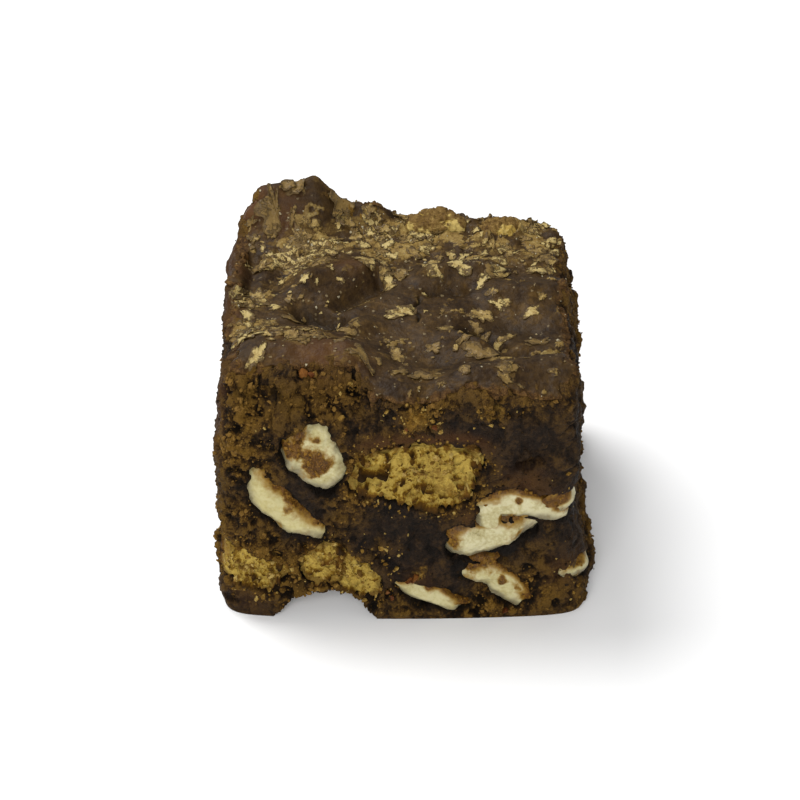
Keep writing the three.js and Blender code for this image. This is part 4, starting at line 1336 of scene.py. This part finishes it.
def scatterCrumbs():
    places, dry = crumbGrid.reshape(-1, 3), crumbDry.ravel()
    clear = rise(crumbNearest.ravel(), 0.2, 1.0) * (places[:, 2] > 1.0)
    broken = onFront(places, crumb["brokenPlaces"])
    spacing = np.ones(crumbGrid.shape[:2])
    spacing[:, crumb["front"]:] = crumb["front"] / crumb["side"] * 0.6  # columns are further apart there
    chosen = pick((0.06 + dry**2 + broken) * clear * spacing.ravel(), loose["crumbs"])
    radii = drawRadii("crumbs", len(chosen)) * (1 + 0.35 * broken[chosen])
    spots = settle("crumbs", crumbGrid, crumbNormal, chosen, radii)
    spots = spots + random.normal(0, loose["unevenness"], spots.shape)
    spots = offFloor("crumbs", spots, radii)
    addGrains("crumbs", spots, radii, dry[chosen], ["brownie"], "crumbScraps")


def scatterGolden():
    spots, radii = [], []
    for grid, normal, onCap in biscuitSurfaces:
        chosen = pick(onCap.ravel() * stepLength(grid, 0).ravel(), loose["onBiscuits"])
        radii.append(drawRadii("onBiscuits", len(chosen)))
        spots.append(settle("onBiscuits", grid, normal, chosen, radii[-1]))
    places, toPiece = crumbGrid.reshape(-1, 3), crumbToBiscuit.ravel()
    near = 0.5 * bell(toPiece / 1.4) * (toPiece > 0.1) + 0.004 * crumbDry.ravel()
    near = (near + onFront(places, loose["goldenPlaces"])) * (places[:, 2] > 1)
    chosen = pick(near, loose["nearBiscuits"])
    radii.append(drawRadii("nearBiscuits", len(chosen)))
    spots.append(places[chosen])
    radii = np.concatenate(radii)
    spots = offFloor("onBiscuits", np.concatenate(spots), radii)
    addGrains("goldenCrumbs", spots, radii, 0.5, list(biscuits), "goldScraps")


def scatterOnWhites():
    # Crumb that clings to the white lumps, mostly along the side that the crumb lies over
    spots, radii = [], []
    for grid, into, weight in whiteSurfaces:
        area = (weight * (stepLength(grid, 0) * stepLength(grid, 1))).ravel()
        chosen = pick(area, int(loose["onWhites"] * area.sum()))
        radii.append(drawRadii("onWhites", len(chosen)))
        spots.append(settle("onWhites", grid, into, chosen, radii[-1]))
    radii = np.concatenate(radii)
    spots = offFloor("onWhites", np.concatenate(spots), radii)
    tones = random.uniform(0.3, 1.0, len(spots))
    addGrains("crumbsOnWhite", spots, radii, tones, ["brownie"], "clingingCrumbs")


def placeCaramel():
    x, z, radii = np.array(loose["caramel"]).T
    places = crumbGrid[:, :crumb["front"]].reshape(-1, 3)
    nearest = np.hypot(places[:, 0] - x[:, None], places[:, 2] - z[:, None]).argmin(1)
    addGrains("caramelBits", places[nearest], radii, 0.6, ["brownie"], "caramelBits")


# Flakes of crust on the top: the large ones where the solids have theirs, and smaller ones among them
flakes = {
    "count": 34, "largest": 3.3, "smallest": 1.3, "tries": 9, "margin": 2.5,
    "leftEdgeShare": 0.2, "leftEdgeBand": 4, "mostRoom": 8, "overlap": 2, "seed": 5,
    "angles": 60, "rings": 6, "smallAngles": 24, "smallRings": 3,
    "narrow": 0.65, "torn": (0.22, 1.6),  # width against length, and how near and far the outline may come
    "thickness": 0.08, "curl": 0.22, "edgeCurl": 4.0,
}


def flakeSpots():
    # The largest first, each at the roomiest of a few random places: x, y, size, turn
    drawn = 0

    def draw():
        nonlocal drawn
        drawn += 1
        return float(latticeValue(drawn, 3, 9, flakes["seed"]) + 1) / 2

    spots = []
    halfX, halfY = slab["width"] / 2 - flakes["margin"], slab["depth"] / 2 - flakes["margin"]
    for n in range(flakes["count"]):
        size = flakes["largest"] + (flakes["smallest"] - flakes["largest"]) * math.sqrt(n / flakes["count"])
        best, mostRoom = None, 0
        for _ in range(flakes["tries"]):
            atLeftEdge = draw() < flakes["leftEdgeShare"]
            x = -halfX + flakes["leftEdgeBand"] * draw() if atLeftEdge else halfX * (2 * draw() - 1)
            y = halfY * (2 * draw() - 1) if atLeftEdge else halfY * (1 - 2 * draw() ** 2)
            room = [flakes["mostRoom"]]
            room += [math.hypot(x - c[0], y - c[1]) - size - r[0] - 0.3 for c, r in topLumps.values()]
            room += [math.hypot(x - s[0], y - s[1]) - size - s[2] + flakes["overlap"] for s in spots]
            turn, _ = 2 * math.pi * draw(), draw()  # one more is drawn, as for the solids
            if min(room) > mostRoom:
                best, mostRoom = (x, y, size, turn), min(room)
        if best:
            spots.append(best)
    return np.array(spots)


def sample(grid, row, col):
    # The grid's value between its rows and columns, blended from the four corners
    row = np.clip(row, 0, grid.shape[0] - 1.001)
    col = np.clip(col, 0, grid.shape[1] - 1.001)
    i, j = row.astype(int), col.astype(int)
    a, b = (row - i)[..., None], (col - j)[..., None]
    near = grid[i, j] * (1 - b) + grid[i, j + 1] * b
    return near * (1 - a) + (grid[i + 1, j] * (1 - b) + grid[i + 1, j + 1] * b) * a


def addFlakes(name, spots, angles, rings):
    # A flake is a patch of the crust lifted off it: rings out to a torn outline, and again a little lower
    x, y, size, turn = spots.T[:, :, None, None]
    count = len(spots)
    angle = np.linspace(0, 2 * np.pi, angles, endpoint=False)[None, None, :]
    share = np.linspace(0, 1, rings + 1)[None, 1:, None]
    apart = 7.7 * np.arange(count)[:, None, None, None]  # so that no two are torn alike
    ring = np.stack([np.cos(angle), np.sin(angle), 0 * angle], -1) + apart
    torn = np.clip(0.9 + 0.6 * noise(ring, 0.9, 241) + 0.6 * noise(ring, 0.4, 242), *flakes["torn"])
    reach = size * torn * share
    u, v = reach * np.cos(angle), flakes["narrow"] * reach * np.sin(angle)
    px, py = x + u * np.cos(turn) + v * np.sin(turn), y - u * np.sin(turn) + v * np.cos(turn)
    last = crust["cells"] - 1
    row, col = (py / (slab["depth"] / 2) + 1) / 2 * last, (px / (slab["width"] / 2) + 1) / 2 * last
    base, normal = sample(crustGrid, row, col), sample(crustNormal, row, col)
    # it curls up towards its rim, most at the back and left edges of the top
    wave = noise(ring, 1.2, 243)
    atEdge = 1 + flakes["edgeCurl"] * np.maximum(rise(y, 19, 25), 0.5 * rise(-x, 22, 26))
    curl = flakes["curl"] * atEdge * np.minimum(size, 2) / 2
    lift = flakes["thickness"] + curl * share**2 * np.clip(0.35 + wave, 0, 1)
    lift = lift + 0.12 * noise(base, 0.9, 244)
    top = base + normal * lift[..., None]
    bottom = base + normal * (lift - flakes["thickness"])[..., None] - [0, 0, 0.06]
    centre = top[:, 0].mean(1, keepdims=True)
    above, below = top.reshape(count, -1, 3), bottom.reshape(count, -1, 3)
    points = np.concatenate([centre, above, centre - [0, 0, 0.2], below], 1)
    k = np.arange(angles)
    after = (k + 1) % angles
    half = 1 + rings * angles
    fan = np.stack([0 * k, 1 + k, 1 + after], -1)
    band = gridQuads(rings, angles, True)[:, ::-1] + 1
    outer = 1 + (rings - 1) * angles
    wall = np.stack([outer + k, half + outer + k, half + outer + after, outer + after], -1)
    one = [np.concatenate([fan, fan[:, ::-1] + half]), np.concatenate([band, band[:, ::-1] + half, wall])]
    one = outwardFaces(points[0], one)
    shift = np.arange(count)[:, None, None] * points.shape[1]
    faces = [(f[None] + shift).reshape(-1, f.shape[1]) for f in one]
    # darker on the raised corner and at the front
    onRidge = bell(np.hypot(spots[:, 0] + 20, spots[:, 1] - 26) / 9)
    inFront = rise(-spots[:, 1], -2, 10) * rise(spots[:, 0], -22, -14)
    tone = np.repeat(random.uniform(0, 1, count) - 0.9 * onRidge - 0.45 * inFront, points.shape[1])
    outwards = np.concatenate([[0.0], np.repeat(share.ravel(), angles)])
    makePiece(name, points, faces, ["brownie"], flakeMaterial,
              {"tone": tone, "share": np.tile(outwards, 2 * count)})


def scatterFlakes():
    addFlakes("flakes", flakeSpots(), flakes["angles"], flakes["rings"])
    patch = rise(noise(crustGrid, 3.5, 231).ravel() + 0.5 * noise(crustGrid, 1.4, 232).ravel(), -0.2, 0.5)
    chosen = pick((0.04 + crustFlaky.ravel() ** 1.5) * (0.15 + patch), loose["smallFlakes"])
    size = drawRadii("smallFlakes", len(chosen))
    turn = random.uniform(0, 2 * np.pi, len(chosen))
    spots = np.column_stack([crustGrid.reshape(-1, 3)[chosen][:, :2], size, turn])
    addFlakes("smallFlakes", spots, flakes["smallAngles"], flakes["smallRings"])


def scatterSpecks():
    chosen = pick(0.25 + crustFlaky.ravel(), loose["specks"])
    radii = drawRadii("specks", len(chosen))
    spots = settle("specks", crustGrid, crustNormal, chosen, radii)
    addGrains("specks", spots, radii, 0.5, ["brownie"], "specks")


print("scraps")
scatterCrumbs()
scatterGolden()
scatterOnWhites()
placeCaramel()
scatterFlakes()
scatterSpecks()

# Floor, light and camera
stage = {  # in metres
    "floor": 2, "floorShades": (0.86, 0.9), "floorRoughness": 0.7, "world": 0.42,
    # place, size, power
    "lamps": [("key", (-0.4, 0.3, 0.8), 0.6, 8.0), ("front", (-0.1, -0.9, 0.55), 0.7, 9.0)],
    "lit": (0, 0, 0.03),
}
view = {
    "target": (0.0, 0.0, 24.0), "distance": 450.0, "elevation": 34.0,
    "sensor": 36, "focal": 2640 / 800 * 36,  # 2640 pixels for a picture 800 wide
    "clipStart": 0.01,
}


def makeStage():
    mesh = bpy.data.meshes.new("floor")
    w = stage["floor"]
    mesh.from_pydata([(-w, -w, 0), (w, -w, 0), (w, w, 0), (-w, w, 0)], [], [(0, 1, 2, 3)])
    floor = bpy.data.objects.new("floor", mesh)
    made, tree, vector = startMaterial("floorWhite")
    shader = tree.nodes["Principled BSDF"]
    darker, lighter = ((v, v, v, 1) for v in stage["floorShades"])
    tone = mixColours(tree, noiseNode(tree, vector, 3.0, 2.0), darker, lighter)
    tree.links.new(tone, shader.inputs["Base Color"])
    shader.inputs["Roughness"].default_value = stage["floorRoughness"]
    mesh.materials.append(made)
    bpy.context.scene.collection.objects.link(floor)


def addLamp(name, place, size, power):
    lamp = bpy.data.lights.new(name, "AREA")
    lamp.shape, lamp.size, lamp.energy = "DISK", size, power
    made = bpy.data.objects.new(name, lamp)
    made.location = place
    bpy.context.scene.collection.objects.link(made)
    aim(made, stage["lit"])


def aim(thing, target):
    # Its -z axis, along which lamps and cameras look, towards the target
    direction = np.array(target) - np.array(thing.location)
    yaw = math.atan2(direction[1], direction[0]) - math.pi / 2
    pitch = math.pi / 2 + math.atan2(direction[2], math.hypot(direction[0], direction[1]))
    thing.rotation_euler = (pitch, 0, yaw)


def makeCamera():
    tilt = math.radians(view["elevation"])
    target = np.array(view["target"]) * mm
    place = target + np.array([0, -math.cos(tilt), math.sin(tilt)]) * view["distance"] * mm
    lens = bpy.data.cameras.new("camera")
    lens.lens, lens.sensor_width, lens.clip_start = view["focal"], view["sensor"], view["clipStart"]
    made = bpy.data.objects.new("camera", lens)
    made.location = place
    bpy.context.scene.collection.objects.link(made)
    aim(made, target)
    bpy.context.scene.camera = made


print("stage")
makeStage()
for lamp in stage["lamps"]:
    addLamp(*lamp)
makeCamera()
world = bpy.data.worlds.new("world")
bpy.context.scene.world = world
world.use_nodes = True
sky = world.node_tree.nodes["Background"].inputs
sky["Color"].default_value = (1, 1, 1, 1)
sky["Strength"].default_value = stage["world"]
bpy.context.scene.view_settings.view_transform = "Standard"
bpy.context.scene.view_settings.look = "None"
